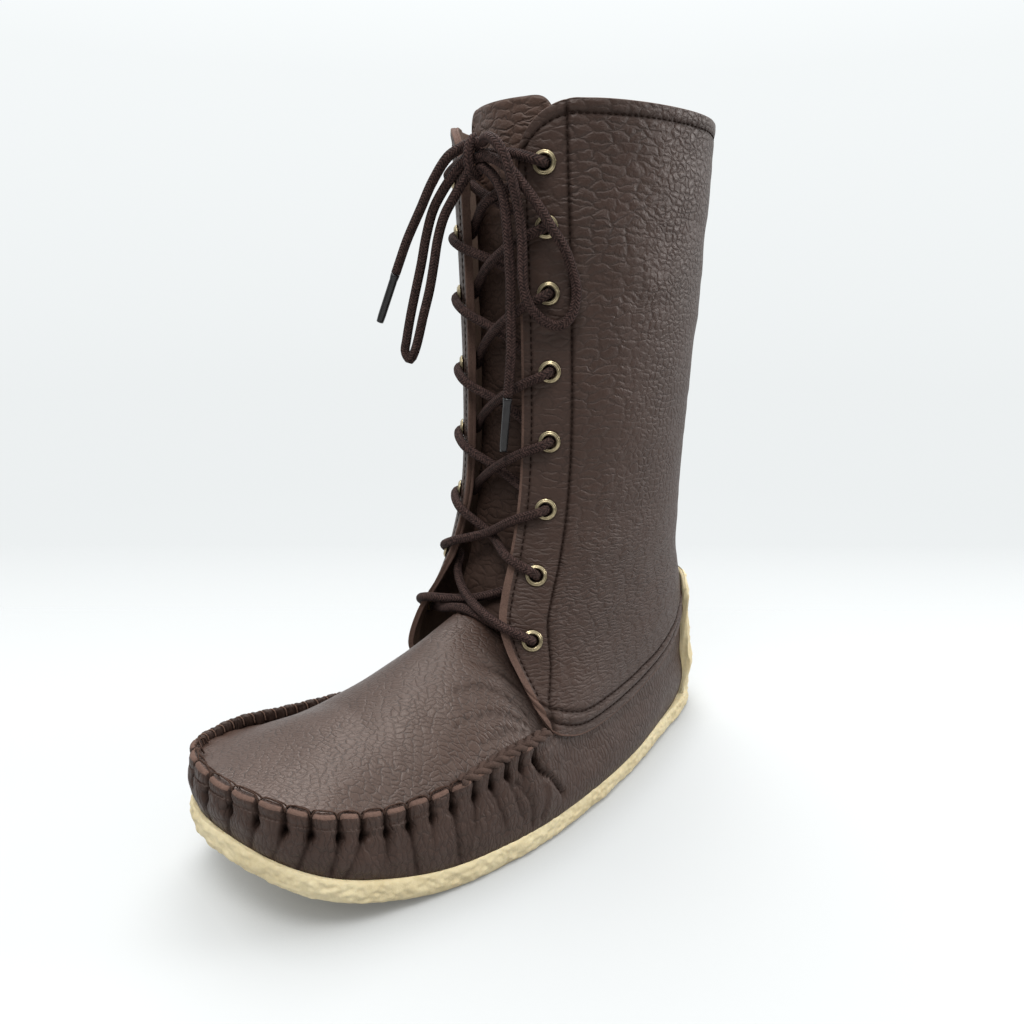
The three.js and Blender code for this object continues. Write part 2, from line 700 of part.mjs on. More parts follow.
// Front of the leg as one curve: the flap's own section, and a low arch across the throat.
function throatPoint(x, z) {
  const [outerEdge, innerEdge] = ['lateral', 'medial'].map((side) => levelPathAt(side, z).getPoint(1));
  const across = (x - innerEdge.x) / (outerEdge.x - innerEdge.x);
  if (across >= 0 && across <= 1) {
    return point(x, mix(innerEdge.y, outerEdge.y, across) + THROAT_CROWN * 4 * across * (1 - across), z);
  }
  const side = x < 0 ? 'medial' : 'lateral';
  const path = levelPathAt(side, z);
  let share = 1;
  while (share > 0.5 && Math.abs(path.getPoint(share).x) < Math.abs(x)) share -= 0.01;
  return skinPoint(side, share, z);
}

function tongueColumn(across) {
  const root = TONGUE_ROOT.map((s) => {
    const x = across * TONGUE_HALF.root;
    return point(x, s, plugHeight(x, s) + TONGUE_ROOT_LIFT);
  });
  const throat = TONGUE_HEIGHTS.map((z) => throatPoint(across * tongueHalf(z), z));
  const rim = throatPoint(across * TONGUE_HALF.top, COLLAR_HEIGHT);
  rim.z = COLLAR_HEIGHT + TONGUE_RISE - TONGUE_CORNER * across ** 4;
  return [...root, ...throat, rim];
}

function tongueWall() {
  const columns = TONGUE_COLUMNS.map(tongueColumn);
  const rows = columns[0].length;
  const skin = columns.flat();
  const triangles = gridTriangles(columns.length, rows, (c, r) => c * rows + r);
  const normals = sheetNormals(skin, triangles);
  return wallBetween(
    offsetAll(skin, normals, -TONGUE_DEPTH),
    offsetAll(skin, normals, -TONGUE_DEPTH - LEATHER),
    triangles,
  );
}

// Ring of places round the sole outline, moved in by a distance that may change along the foot.
function outlineRing(inset, steps) {
  const half = (side) => Array.from({ length: steps + 1 }, (_, i) => {
    const { here, out, s } = outlineAt(side, OUTLINE[side].total * i / steps);
    return here.addScaledVector(out, -inset(s));
  });
  return { lateral: half('lateral'), medial: half('medial') };
}

// Closed slab through a stack of rings: each layer has an inset and a height along the foot.
function slab(layers, steps) {
  const rings = layers.map(({ inset, height }) => {
    const { lateral, medial } = outlineRing(inset, steps);
    const ring = [...medial, ...lateral.slice(1, -1).reverse()];
    return ring.map((p) => p.clone().setZ(height(-p.y)));
  });
  const count = rings[0].length;
  const points = rings.flat();
  const triangles = gridTriangles(count + 1, rings.length, (c, r) => r * count + (c % count));
  const across = (i) => (count - i) % count;
  for (let i = 0; i < steps; i += 1) {
    const cap = [[i, i + 1, across(i + 1)], [i, across(i + 1), across(i)]];
    const top = (rings.length - 1) * count;
    cap.filter(([a, b, c]) => a !== b && b !== c && a !== c).forEach(([a, b, c]) => {
      triangles.push(a, c, b, top + a, top + b, top + c);
    });
  }
  return meshOf(points, triangles);
}

function soleSlab() {
  const layers = SOLE_EDGE.map((row) => ({
    inset: () => row.inset,
    height: (s) => soleBottom(s) + row.up * SOLE_THICKNESS,
  }));
  return slab(layers, SOLE_STEPS);
}

function guardWall() {
  const inner = [];
  const outer = [];
  GUARD_COLUMNS.forEach((across) => {
    const side = across < 0 ? 'medial' : 'lateral';
    const arc = Math.abs(across) * GUARD_REACH;
    const share = arc / rearLength(side);
    const inCorner = Math.max(0, GUARD_CORNER - (GUARD_REACH - arc));
    const top = GUARD_TOP - GUARD_CORNER + Math.sqrt(GUARD_CORNER ** 2 - inCorner ** 2);
    const foot = wallFoot(side, arc);
    const { here, out } = outlineAt(side, arc);
    GUARD_ROWS.forEach((u) => {
      const z = mix(GUARD_FOOT, top, u);
      const skin = z > foot.z ? rearPoint(side, share, z) : foot.clone().setZ(z);
      const clear = GUARD_CLEARANCE + (LAP_GAP + LEATHER) * ease(z, GUARD_STEP.from, GUARD_STEP.to);
      const near = skin.clone().addScaledVector(out, clear);
      const thin = GUARD_THICKNESS * (1 - GUARD_TAPER * u ** 4);
      const far = skin.clone().addScaledVector(out, clear + thin);
      const edge = here.clone().addScaledVector(out, -GUARD_FOOT_INSET).setZ(z);
      inner.push(near);
      outer.push(edge.lerp(far, ease(z, SOLE_THICKNESS, GUARD_BLEND)));
    });
  });
  const corner = (c, r) => c * GUARD_ROWS.length + r;
  return wallBetween(outer, inner, gridTriangles(GUARD_COLUMNS.length, GUARD_ROWS.length, corner));
}

function insoleGeometry() {
  const inset = (s) => lookup(LEDGE_ROWS, 's', 'ledge', s) + LEATHER + INSOLE_CLEARANCE;
  return slab([
    { inset, height: (s) => soleTop(s) + GAP },
    { inset, height: (s) => soleTop(s) + GAP + INSOLE_THICKNESS },
  ], SOLE_STEPS);
}

// Eyelets: a flange on the outer face and a barrel through the flap.
function eyeletPlace(side, z) {
  const share = 1 - EYELET_FROM_EDGE / levelPathAt(side, z).getLength();
  const out = skinNormal(side, share, z);
  return { here: skinPoint(side, share, z).addScaledVector(out, LAP_GAP + LEATHER), out };
}

function turned(geometry, { here, out }) {
  const spin = new THREE.Quaternion().setFromUnitVectors(new THREE.Vector3(0, 1, 0), out);
  return geometry.applyQuaternion(spin).translate(here.x, here.y, here.z);
}

function eyeletGeometry(place) {
  const profile = EYELET_PROFILE.map(({ r, h }) => new THREE.Vector2(r, h));
  return turned(new THREE.LatheGeometry([...profile, profile[0]], EYELET_SIDES), place);
}

function eyeletHole(place) {
  return turned(new THREE.CylinderGeometry(EYELET_HOLE, EYELET_HOLE, EYELET_CUT, EYELET_SIDES), place);
}

function laceTube(points) {
  const curve = new THREE.CatmullRomCurve3(points, false, 'centripetal');
  const corner = (_, i) => {
    const angle = 2 * Math.PI * i / LACE_SIDES;
    return new THREE.Vector2(LACE_RADIUS * Math.cos(angle), LACE_RADIUS * Math.sin(angle));
  };
  const section = new THREE.Shape(Array.from({ length: LACE_SIDES }, corner));
  const steps = Math.max(1, Math.round(curve.getLength() / LACE_STEP));
  const extrudePath = points.length > 2 ? curve : lineOf(points);
  return new THREE.ExtrudeGeometry(section, { extrudePath, steps });
}

function lineOf([start, end]) {
  return new THREE.LineCurve3(start, end);
}

function routeTube(route) {
  return laceTube(route.map(([x, s, z]) => point(x, s, z)));
}

// End of a strand: over the flap's edge onto its eyelet, or just short of the edge.
function strandEnd(side, z, otherZ, outside) {
  const edgeZ = mix(z, otherZ, EDGE_CROSSED_AT);
  const edge = skinPoint(side, 1, edgeZ);
  const normal = skinNormal(side, 1, edgeZ);
  if (!outside) {
    edge.x -= SIDES[side] * EDGE_CLEARANCE;
    return [edge.addScaledVector(normal, -EDGE_DEPTH)];
  }
  const { here, out } = eyeletPlace(side, z);
  const flange = Math.max(...EYELET_PROFILE.map((row) => row.h));
  const top = here.addScaledVector(out, flange + EYELET_LIFT + LACE_RADIUS);
  return [top, edge.addScaledVector(normal, LAP_GAP + LEATHER + EDGE_LIFT + LACE_RADIUS)];
}

// Place over the middle of the tongue, lifted from the arch across the throat.
function overTongue(z, lift) {
  const step = 4;
  const up = throatPoint(0, z + step).sub(throatPoint(0, z - step));
  return throatPoint(0, z).addScaledVector(new THREE.Vector3(0, -up.z, up.y).normalize(), lift);
}

function strand(crossing, from) {
  const { low, high, lowOut, highOut, over } = crossing;
  const [lowZ, highZ] = [EYELET_HEIGHTS[low - 1], EYELET_HEIGHTS[high - 1]];
  const to = from === 'lateral' ? 'medial' : 'lateral';
  const lift = from === over ? CROSSING_LIFT.over : CROSSING_LIFT.under;
  return laceTube([
    ...strandEnd(from, lowZ, highZ, lowOut),
    overTongue((lowZ + highZ) / 2, lift),
    ...strandEnd(to, highZ, lowZ, highOut).reverse(),
  ]);
}

function crossingGeometry(crossing) {
  const [first, second] = Object.keys(SIDES).map((from) => toSolid(strand(crossing, from)));
  return toGeometry(first.add(second));
}

function topBarGeometry() {
  return laceTube([
    ...strandEnd('medial', EYELET_HEIGHTS[0], TOP_BAR.z, true),
    overTongue(TOP_BAR.z, TOP_BAR.lift),
    ...strandEnd('lateral', EYELET_HEIGHTS[0], TOP_BAR.z, true).reverse(),
  ]);
}

function knotGeometry() {
  const centre = point(KNOT.x, KNOT.s, KNOT.z);
  const ball = new THREE.SphereGeometry(1, KNOT.around, KNOT.rings);
  return ball.scale(...KNOT.half).translate(...centre.toArray());
}

const boot = new THREE.Group();

function addPart(name, geometry, { color, roughness, metalness = 0 }) {
  const bare = mergeVertices(geometry.deleteAttribute('normal').deleteAttribute('uv'), 1e-4);
  bare.computeVertexNormals();
  const mesh = new THREE.Mesh(bare, new THREE.MeshStandardMaterial({ color, roughness, metalness }));
  mesh.name = name;
  boot.add(mesh);
}

const eyelets = [];
Object.keys(SIDES).forEach((side) => {
  EYELET_HEIGHTS.forEach((z, i) => {
    eyelets.push({ name: `eyelet_${side}_${i + 1}`, place: eyeletPlace(side, z) });
  });
});

const upperClearance = toSolid(upperWall(GAP, -UPPER_CUT_DEPTH));
let shaft = toSolid(shaftWall()).subtract(upperClearance);
eyelets.forEach(({ place }) => {
  shaft = shaft.subtract(toSolid(eyeletHole(place)));
});
const shaftBody = shaft.decompose().sort((a, b) => b.volume() - a.volume())[0];

addPart('outsole', soleSlab(), CREPE);
addPart('heel_guard', guardWall(), CREPE);
addPart('insole', insoleGeometry(), LINING);
addPart('upper', upperWall(0, -LEATHER), BROWN_LEATHER);
addPart('shaft', toGeometry(shaftBody), BROWN_LEATHER);
addPart('tongue', tongueWall(), BROWN_LEATHER);
eyelets.forEach(({ name, place }) => addPart(name, eyeletGeometry(place), BRASS));

CROSSINGS.forEach((crossing, i) => addPart(`lace_cross_${i + 1}`, crossingGeometry(crossing), BROWN_CORD));
addPart('lace_bar_top', topBarGeometry(), BROWN_CORD);
addPart('lace_bar_bottom', routeTube(BOTTOM_BAR), BROWN_CORD);

// The origin is on the floor under the middle of the boot's box, the bow left out.
const box = new THREE.Box3().setFromObject(boot);
const middle = box.getCenter(new THREE.Vector3());
boot.position.set(-middle.x, -middle.y, -box.min.z);

addPart('lace_knot', knotGeometry(), BROWN_CORD);
Object.entries(BOW_ROUTES).forEach(([name, route]) => {
  addPart(name, routeTube(route), name.startsWith('lace_tip') ? LACE_TIP : BROWN_CORD);
});

export default boot;
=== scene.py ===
# Looks of a tall lace-up moccasin boot for the left foot: leather, crepe, brass, lace and stitching.
# Lengths are millimetres: x from the throat plane (outer side positive), y = minus the distance from
# the heel, z up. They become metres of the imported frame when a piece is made.
import math

import bmesh
import bpy
import numpy as np
from mathutils import Matrix, Vector


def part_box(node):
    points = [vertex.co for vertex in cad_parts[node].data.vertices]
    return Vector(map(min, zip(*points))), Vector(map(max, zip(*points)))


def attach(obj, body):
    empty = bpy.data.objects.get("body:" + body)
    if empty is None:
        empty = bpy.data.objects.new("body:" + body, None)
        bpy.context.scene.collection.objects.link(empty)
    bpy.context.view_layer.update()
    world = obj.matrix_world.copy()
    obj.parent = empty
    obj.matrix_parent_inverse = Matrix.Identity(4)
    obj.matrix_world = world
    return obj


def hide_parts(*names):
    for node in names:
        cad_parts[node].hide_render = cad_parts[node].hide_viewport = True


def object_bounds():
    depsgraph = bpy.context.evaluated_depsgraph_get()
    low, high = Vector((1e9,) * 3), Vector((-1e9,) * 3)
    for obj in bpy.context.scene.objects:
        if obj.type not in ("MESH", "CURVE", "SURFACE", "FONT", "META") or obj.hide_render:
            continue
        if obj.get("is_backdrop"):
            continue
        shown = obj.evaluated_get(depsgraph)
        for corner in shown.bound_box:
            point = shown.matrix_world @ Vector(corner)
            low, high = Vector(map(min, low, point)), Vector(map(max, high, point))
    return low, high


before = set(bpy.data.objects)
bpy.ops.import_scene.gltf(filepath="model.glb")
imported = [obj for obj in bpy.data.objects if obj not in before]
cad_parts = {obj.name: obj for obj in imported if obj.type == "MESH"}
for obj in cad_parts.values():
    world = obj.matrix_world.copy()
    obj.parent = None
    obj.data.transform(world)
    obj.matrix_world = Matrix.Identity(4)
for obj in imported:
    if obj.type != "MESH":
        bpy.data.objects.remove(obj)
CAD_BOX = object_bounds()


def table(columns, *rows):
    return dict(zip(columns.split(), np.array(rows, float).T))


# Sizes shared with the solids
LENGTH = 285
COLLAR_HEIGHT = 303.5
COLLAR_DIP = 2.5
LEATHER = 2
FACING = 1.4
GAP = 0.3
SOLE_THICKNESS = 10
TOE_SPRING = 26
SPRING_START = 0.7 * LENGTH
SPRING_POWER = 2

SOLE = table(
    "at lateral medial",
    (0.035, 24, -17), (0.10, 32.5, -28), (0.20, 40.5, -31.5), (0.32, 50, -30.5), (0.45, 57, -32),
    (0.60, 60.5, -39.5), (0.72, 57.5, -47), (0.83, 50.3, -48.5), (0.92, 40.7, -43.5), (0.97, 25, -34),
)
HEEL_TIP_X = 3.4
TOE_TIP_X = -7
LEDGE = table("s ledge", (0, 6.5), (60, 1.5), (150, 0.7), (205, 1.4), (LENGTH, 2.4))
SEAM = table(
    "s lateral medial inset",
    (140, 45, 42, 5), (180, 43.5, 41, 6), (205, 39.5, 39.5, 6), (235, 37.5, 42, 6), (258, 42.5, 47, 5),
    (LENGTH, 51.5, 51.5, 4),
)
WALL_BULGE = 2.5
REAR_BULGE = 2
RIDGE_FADE = (150, 168)
CREST = table("s x z", (163, 2, 87.8), (178, 4, 83.5), (196, 5, 75.5), (208, 5, 70), (224, 4, 63))
POLE_SEAM = 236
PLUG_SHOULDER = {1: 2, -1: 1.5}
PLUG_BACK_SHARES = (0.915, 0.955, 0.985, 1)
PLUG_RIBS = 8

# Level sections of ankle and shaft.
LEVELS = table(
    "z mid back side lateral medial splay edge lead gap turn",
    (38, 3.4, 8, 95, 46, 29.5, 0.16, 158, 6, 54, -5),
    (49, 3, 9.5, 94, 45, 29.5, 0.12, 157, 8, 48.5, 15),
    (58, 2.6, 11.5, 93, 44, 30, 0.08, 157, 9, 40, 35),
    (68, 2.2, 14, 92, 43, 32, 0.04, 157, 9, 32.5, 45),
    (78, 1.6, 17, 91, 42, 34.5, 0, 157, 6, 26.5, 55),
    (88, 1, 20, 90, 41.5, 37, 0, 155.5, 3.5, 22, 65),
    (98, 0.6, 22.5, 89, 41, 39, 0, 151, 2, 19.5, 72),
    (112, 0, 24.5, 88, 40.8, 40.5, 0, 145, 1.5, 18, 78),
    (138, 0, 25.5, 86.5, 41.5, 41.5, 0, 138.5, 1.5, 16.5, 80),
    (168, 0, 25, 85, 43, 43, 0, 136, 2, 16, 80),
    (220, 0, 23, 83, 46.2, 46.2, 0, 137, 1, 16, 80),
    (303, 0, 21, 81, 50.3, 50.3, 0, 142, 0, 16, 80),
)
LEVEL_BASE = 38
SECTION_EASE = {"rear": 0.58, "side": 0.4, "front": 0.33}
INSTEP_NARROWING = {"by": 15, "from": 45, "to": 85}
THROAT_CROWN = 3
LAP = table("s z", (5, 78), (18, 70), (28, 62), (42, 51), (62, 43.5), (93, 41), (135, 42), (158, 46))
LAP_SEEN = table(
    "s z",
    (5, 78), (18, 71), (28, 65), (42, 56.5), (51, 51.5), (62, 47), (72, 44), (94, 39.5), (117, 38),
    (137, 39), (158, 46),
)
LAP_OVERLAP = 8
LAP_GAP = 0.45
FLAP_CORNER = 25
EYESTAY_WIDTH = 30
EYESTAY_FADE = 3
EYESTAY_FOOT = (95, 112)
GUARD_REACH = 36
GUARD_THICKNESS = 4.9
GUARD_TOP = 82
GUARD_CORNER = 14
GUARD_BLEND = 34
GUARD_TAPER = 0.25
SOLE_EDGE = table("up inset", (0, 2.0), (0.14, 0.7), (0.4, 0.1), (0.75, 0.15), (0.92, 0.5), (1, 1.2))
TONGUE_DEPTH = 6
TONGUE_ROOT = (178, 160)
TONGUE_HALF = {"root": 17, "top": 24, "from": 99, "to": 150}
TONGUE_RISE = 2
TONGUE_CORNER = 5
TONGUE_LEAN = 2.5
EYELET_HEIGHTS = (279, 255, 229, 197, 167, 137, 108, 81)
EYELET_FROM_EDGE = 11.5

# Lace: crossings from the toe up, with the rows they join and where their strands end outside the flaps.
LACE_RADIUS = 2.1
CROSSINGS = (
    {"low": 8, "high": 7, "low_out": True, "high_out": False, "over": 1},
    {"low": 7, "high": 6, "low_out": True, "high_out": True, "over": -1},
    {"low": 6, "high": 5, "low_out": False, "high_out": True, "over": -1},
    {"low": 5, "high": 4, "low_out": False, "high_out": True, "over": -1},
    {"low": 4, "high": 3, "low_out": False, "high_out": True, "over": -1},
    {"low": 3, "high": 2, "low_out": False, "high_out": True, "over": -1},
    {"low": 2, "high": 1, "low_out": False, "high_out": False, "over": -1},
)
EDGE_CROSSED_AT = 0.21
CROSSING_LIFT = {"under": -3, "over": 0.5}
TOP_BAR_Z = 283
BOTTOM_BAR = ((-11, 160.8, 87), (-5, 160.6, 88.8), (0, 160.3, 89.6), (8, 159.2, 88.8), (18, 156, 85.5))
KNOT = (0.5, 150.6, 284)

# Routes of the bow: x, distance from the heel and height.
BOW_ROUTES = {
    "lace_loop_right": (
        (6.2, 151.4, 287.8), (11, 153.5, 288.5), (17.5, 155, 286), (22, 154, 280), (24, 152, 271),
        (24.5, 148.5, 258.5), (25, 147.4, 245.5), (25.8, 147.6, 232), (27, 144.2, 223), (30.5, 137.8, 217),
        (34.5, 133.4, 216.3), (37.5, 130.6, 221), (38.7, 129.6, 229.5), (38.3, 132, 238),
        (37.5, 136.3, 246.5), (35.3, 141, 253.5), (31.4, 143.4, 260.5), (25.7, 146.5, 269),
        (20, 150.2, 276.5), (13.5, 151, 280.2), (6.8, 150.4, 282.4),
    ),
    "lace_loop_left": (
        (-5.7, 150.8, 282.3), (-9.5, 152.2, 278.8), (-16, 154, 272), (-22.1, 155.3, 264),
        (-26.1, 156.3, 253.5), (-29.2, 157.1, 241.7), (-32.4, 158, 231), (-35.6, 158.8, 220.3),
        (-38.4, 159.5, 209.2), (-39.4, 159.8, 203.6), (-36.6, 159.2, 200.2), (-33.6, 158.4, 204.6),
        (-28.3, 157.1, 220.3), (-24.7, 156.2, 231), (-22.2, 155.5, 241.4), (-19.9, 154.9, 251.7),
        (-16.3, 154, 261), (-10.9, 152.6, 268.6), (-4.3, 150.6, 277),
    ),
    "lace_end_right": (
        (4.4, 149.8, 278.8), (9, 149.3, 275.5), (13, 149, 271), (16.2, 149.3, 265), (18.2, 149.6, 255.5),
        (18.5, 148.6, 244), (18.8, 148, 232), (18.5, 147.7, 222), (18.5, 147.4, 210), (17.9, 147.2, 200),
        (16.3, 147.2, 186.3),
    ),
    "lace_end_left": (
        (-5.6, 152.6, 287), (-10.5, 155.8, 283.8), (-19.2, 157.8, 274.5), (-25.3, 159.5, 264.5),
        (-33.4, 161.3, 252), (-38.2, 162.4, 242.7), (-40.5, 162.9, 238.2),
    ),
}
TIP_ROUTES = {
    "lace_tip_right": ((16.25, 147.2, 185.9), (12.7, 146.4, 162.5)),
    "lace_tip_left": ((-40.7, 162.95, 237.8), (-51, 165.2, 217)),
}

# The knot's place in the frame gives the shift from these measures to the frame.
knot_low, knot_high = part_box("lace_knot")
KNOT_CENTRE = np.array((knot_low + knot_high) / 2) * 1000
SHIFT = KNOT_CENTRE - np.array((KNOT[0], -KNOT[1], KNOT[2]))


def metres(points):
    return (np.asarray(points, float) + SHIFT) / 1000


# Curves and noise

def hermite(start, end, start_slope, end_slope, u):
    rise = u * u * (3 - 2 * u)
    return start + (end - start) * rise + start_slope * u * (1 - u) ** 2 - end_slope * u * u * (1 - u)


def lookup(rows, by, key, at):
    xs, ys = rows[by], rows[key]
    count = np.arange(len(xs))
    low = np.maximum(count - 1, 0)
    high = np.minimum(count + 1, len(xs) - 1)
    slopes = (ys[high] - ys[low]) / (xs[high] - xs[low])
    place = np.clip(at, xs[0], xs[-1])
    i = np.clip(np.searchsorted(xs, place) - 1, 0, len(xs) - 2)
    span = xs[i + 1] - xs[i]
    return hermite(ys[i], ys[i + 1], slopes[i] * span, slopes[i + 1] * span, (place - xs[i]) / span)


def ease(x, low, high):
    u = np.clip((x - low) / (high - low), 0, 1)
    return u * u * (3 - 2 * u)


def mix(a, b, u):
    return a + (b - a) * u


def unit(vectors):
    return vectors / np.maximum(np.linalg.norm(vectors, axis=-1, keepdims=True), 1e-9)


def spline(points, steps, closed=False):
    """Centripetal Catmull-Rom curve through the points."""
    points = np.asarray(points, float)
    spans = len(points) if closed else len(points) - 1
    if not closed:
        points = np.vstack([2 * points[0] - points[1], points, 2 * points[-1] - points[-2]])
    t = np.arange(steps if closed else steps + 1) * spans / steps
    i = np.minimum(t.astype(int), spans - 1)
    shift = -1 if closed else 0
    p0, p1, p2, p3 = (points[(i + shift + k) % len(points)] for k in range(4))
    pairs = ((p0, p1), (p1, p2), (p2, p3))
    d0, d1, d2 = (np.sqrt(np.linalg.norm(b - a, axis=1, keepdims=True)) for a, b in pairs)
    start = ((p1 - p0) / d0 - (p2 - p0) / (d0 + d1) + (p2 - p1) / d1) * d1
    end = ((p2 - p1) / d1 - (p3 - p1) / (d1 + d2) + (p3 - p2) / d2) * d1
    return hermite(p1, p2, start, end, (t - i)[:, None])


def lengths_of(points):
    return np.concatenate([[0], np.cumsum(np.linalg.norm(np.diff(points, axis=0), axis=1))])


def dent(distance, width, depth=1):
    """The depth at no distance, falling smoothly to 0 over the width."""
    return depth * np.exp(-((distance / width) ** 2))


def raised(flat, z):
    """Points from places seen from above and their heights."""
    return np.concatenate([flat, np.broadcast_to(z, flat.shape[:-1])[..., None]], -1)


def nearest(points, line, scale=1):
    """Distance of each point from the nearest point of a line, over that point's scale."""
    best = np.full(points.shape[:-1], np.inf)
    for place, own in zip(line, np.broadcast_to(scale, len(line))):
        best = np.minimum(best, np.linalg.norm(points - place, axis=-1) / own)
    return best


NOISE_VALUES = 4096
NOISE_STRIDES = (73, 1179, 283)


def noise(points, size, seed):
    """Smooth random values from -1 to 1 that change over the given size."""
    values = np.random.default_rng(seed).uniform(-1, 1, NOISE_VALUES)
    cell = np.asarray(points) / np.asarray(size, float)
    base = np.floor(cell).astype(int)
    part = cell - base
    part = part * part * (3 - 2 * part)
    total = 0
    for corner in np.ndindex(2, 2, 2):
        index = ((base + corner) @ NOISE_STRIDES) % NOISE_VALUES
        weight = np.prod(np.where(np.array(corner, bool), part, 1 - part), axis=-1)
        total = total + weight * values[index]
    return total


# Sole outline, read by the length round it from the heel tip along the outer side

OUTLINE_STEPS = 2000
OUTLINE_REACH = 1.5


def sole_ring():
    s = SOLE["at"] * LENGTH
    outer = np.stack([SOLE["lateral"], -s], -1)
    inner = np.stack([SOLE["medial"], -s], -1)[::-1]
    ring = spline(np.vstack([[(HEEL_TIP_X, 0)], outer, [(TOE_TIP_X, -LENGTH)], inner]), OUTLINE_STEPS, True)
    return np.vstack([ring, ring[:1]])


RING = sole_ring()
RING_AT = lengths_of(RING)
RING_TOTAL = RING_AT[-1]
TOE_AT = RING_AT[OUTLINE_STEPS // 2]


def ring_point(at):
    place = np.mod(at, RING_TOTAL)
    return np.stack([np.interp(place, RING_AT, RING[:, k]) for k in (0, 1)], -1)


def ring_out(at):
    along = unit(ring_point(at + OUTLINE_REACH) - ring_point(at - OUTLINE_REACH))
    return np.stack([-along[..., 1], along[..., 0]], -1)


def side_of(at):
    return np.where(np.mod(at, RING_TOTAL) <= TOE_AT, 1, -1)


def side_length(at):
    place = np.mod(at, RING_TOTAL)
    return np.where(place <= TOE_AT, place, RING_TOTAL - place)


def ring_at(side, s):
    """Place on the outline, on one side, at a distance from the heel."""
    half = OUTLINE_STEPS // 2
    if side > 0:
        return np.interp(s, -RING[: half + 1, 1], RING_AT[: half + 1])
    return np.interp(s, -RING[half:, 1][::-1], RING_AT[half:][::-1])


EDGE_S = LEVELS["edge"][0]
REAR_LENGTH = {1: ring_at(1, EDGE_S), -1: RING_TOTAL - ring_at(-1, EDGE_S)}


def rear_length(at):
    return np.where(side_of(at) > 0, REAR_LENGTH[1], REAR_LENGTH[-1])


def sole_bottom(s):
    lifted = np.maximum(0, (s - SPRING_START) / (LENGTH - SPRING_START))
    return TOE_SPRING * lifted ** SPRING_POWER


def sole_top(s):
    return sole_bottom(s) + SOLE_THICKNESS


# Skin of ankle and shaft, read by side, share of the way from back to flap edge, and height

SECTION_POINTS = 161


def bezier(points, u):
    a, b, c, d = (np.asarray(p) for p in points)
    u = u[:, None]
    v = 1 - u
    return v**3 * a + 3 * v * v * u * b + 3 * v * u * u * c + u**3 * d


def level_section(side, z):
    value = {key: float(lookup(LEVELS, "z", key, z)) for key in LEVELS}
    wide = np.array([side * value["lateral" if side > 0 else "medial"], value["side"]])
    back = np.array([value["mid"], value["back"]])
    splay = value["splay"] if side > 0 else 0
    narrowing = INSTEP_NARROWING["by"] * (1 - ease(z, INSTEP_NARROWING["from"], INSTEP_NARROWING["to"]))
    front_x = value["gap"] if side > 0 else narrowing - value["gap"]
    front = np.array([front_x, value["edge"] + (value["lead"] if side < 0 else 0)])
    turn = math.radians(value["turn"])
    rear = SECTION_EASE["rear"]
    reach = np.linalg.norm(front - wide)
    heel = (
        back, (mix(back[0], wide[0], rear), back[1]),
        (wide[0] - side * splay * (wide[1] - back[1]) * rear, mix(wide[1], back[1], rear)), wide,
    )
    sideways, ahead = SECTION_EASE["side"], SECTION_EASE["front"]
    fore = (
        wide, (wide[0] + side * splay * reach * sideways, wide[1] + reach * sideways),
        (front[0] + side * math.sin(turn) * reach * ahead, front[1] - math.cos(turn) * reach * ahead), front,
    )
    u = np.linspace(0, 1, SECTION_POINTS)
    return np.vstack([bezier(heel, u), bezier(fore, u)[1:]])


SKIN_STEP = 1.5
SKIN_Z = np.arange(LEVEL_BASE, COLLAR_HEIGHT + 6, SKIN_STEP)
SKIN_SHARES = np.linspace(0, 1, 201)


def skin_table(side):
    grid = np.empty((len(SKIN_Z), len(SKIN_SHARES), 2))
    total = np.empty(len(SKIN_Z))
    for i, z in enumerate(SKIN_Z):
        line = level_section(side, z)
        length = lengths_of(line)
        total[i] = length[-1]
        for k in (0, 1):
            grid[i, :, k] = np.interp(SKIN_SHARES * total[i], length, line[:, k])
    return grid, total


SKIN = {side: skin_table(side) for side in (1, -1)}


def skin_point(side, share, z):
    share, z = np.broadcast_arrays(np.asarray(share, float), np.asarray(z, float))
    grid = SKIN[side][0]
    row = np.clip((z - LEVEL_BASE) / SKIN_STEP, 0, len(SKIN_Z) - 1.001)
    column = np.clip(share * (len(SKIN_SHARES) - 1), 0, len(SKIN_SHARES) - 1.001)
    r, c = row.astype(int), column.astype(int)
    fr, fc = (row - r)[..., None], (column - c)[..., None]
    low = mix(grid[r, c], grid[r, c + 1], fc)
    high = mix(grid[r + 1, c], grid[r + 1, c + 1], fc)
    flat = mix(low, high, fr)
    return np.stack([flat[..., 0], -flat[..., 1], z], -1)


def section_length(side, z):
    return np.interp(z, SKIN_Z, SKIN[side][1])


NORMAL_STEP = 0.012
NORMAL_RISE = 2


def skin_normal(side, share, z):
    behind = np.maximum(share - NORMAL_STEP, 0)
    along = (skin_point(side, behind, z) - skin_point(side, behind + NORMAL_STEP, z)) * side
    rise = skin_point(side, share, z + NORMAL_RISE) - skin_point(side, share, z)
    return unit(np.cross(along, rise))


# Upper: wall, seam ridge and plug

# Where the lap gives way to the seam, and the rear face to the fore face
SEAM_START = (0.88, 0.93)
FORE_START = (-14, 10)
CREST_STEP = 2
SPINE_STEPS = np.arange(len(PLUG_BACK_SHARES) + PLUG_RIBS)


def lap_height(s):
    return lookup(LAP, "s", "z", s)


def wall_foot(at):
    here = ring_point(at)
    s = -here[..., 1]
    flat = here - ring_out(at) * lookup(LEDGE, "s", "ledge", s)[..., None]
    return raised(flat, sole_top(s) + GAP)


def seam_height(at, s):
    return np.where(side_of(at) > 0, lookup(SEAM, "s", "lateral", s), lookup(SEAM, "s", "medial", s))


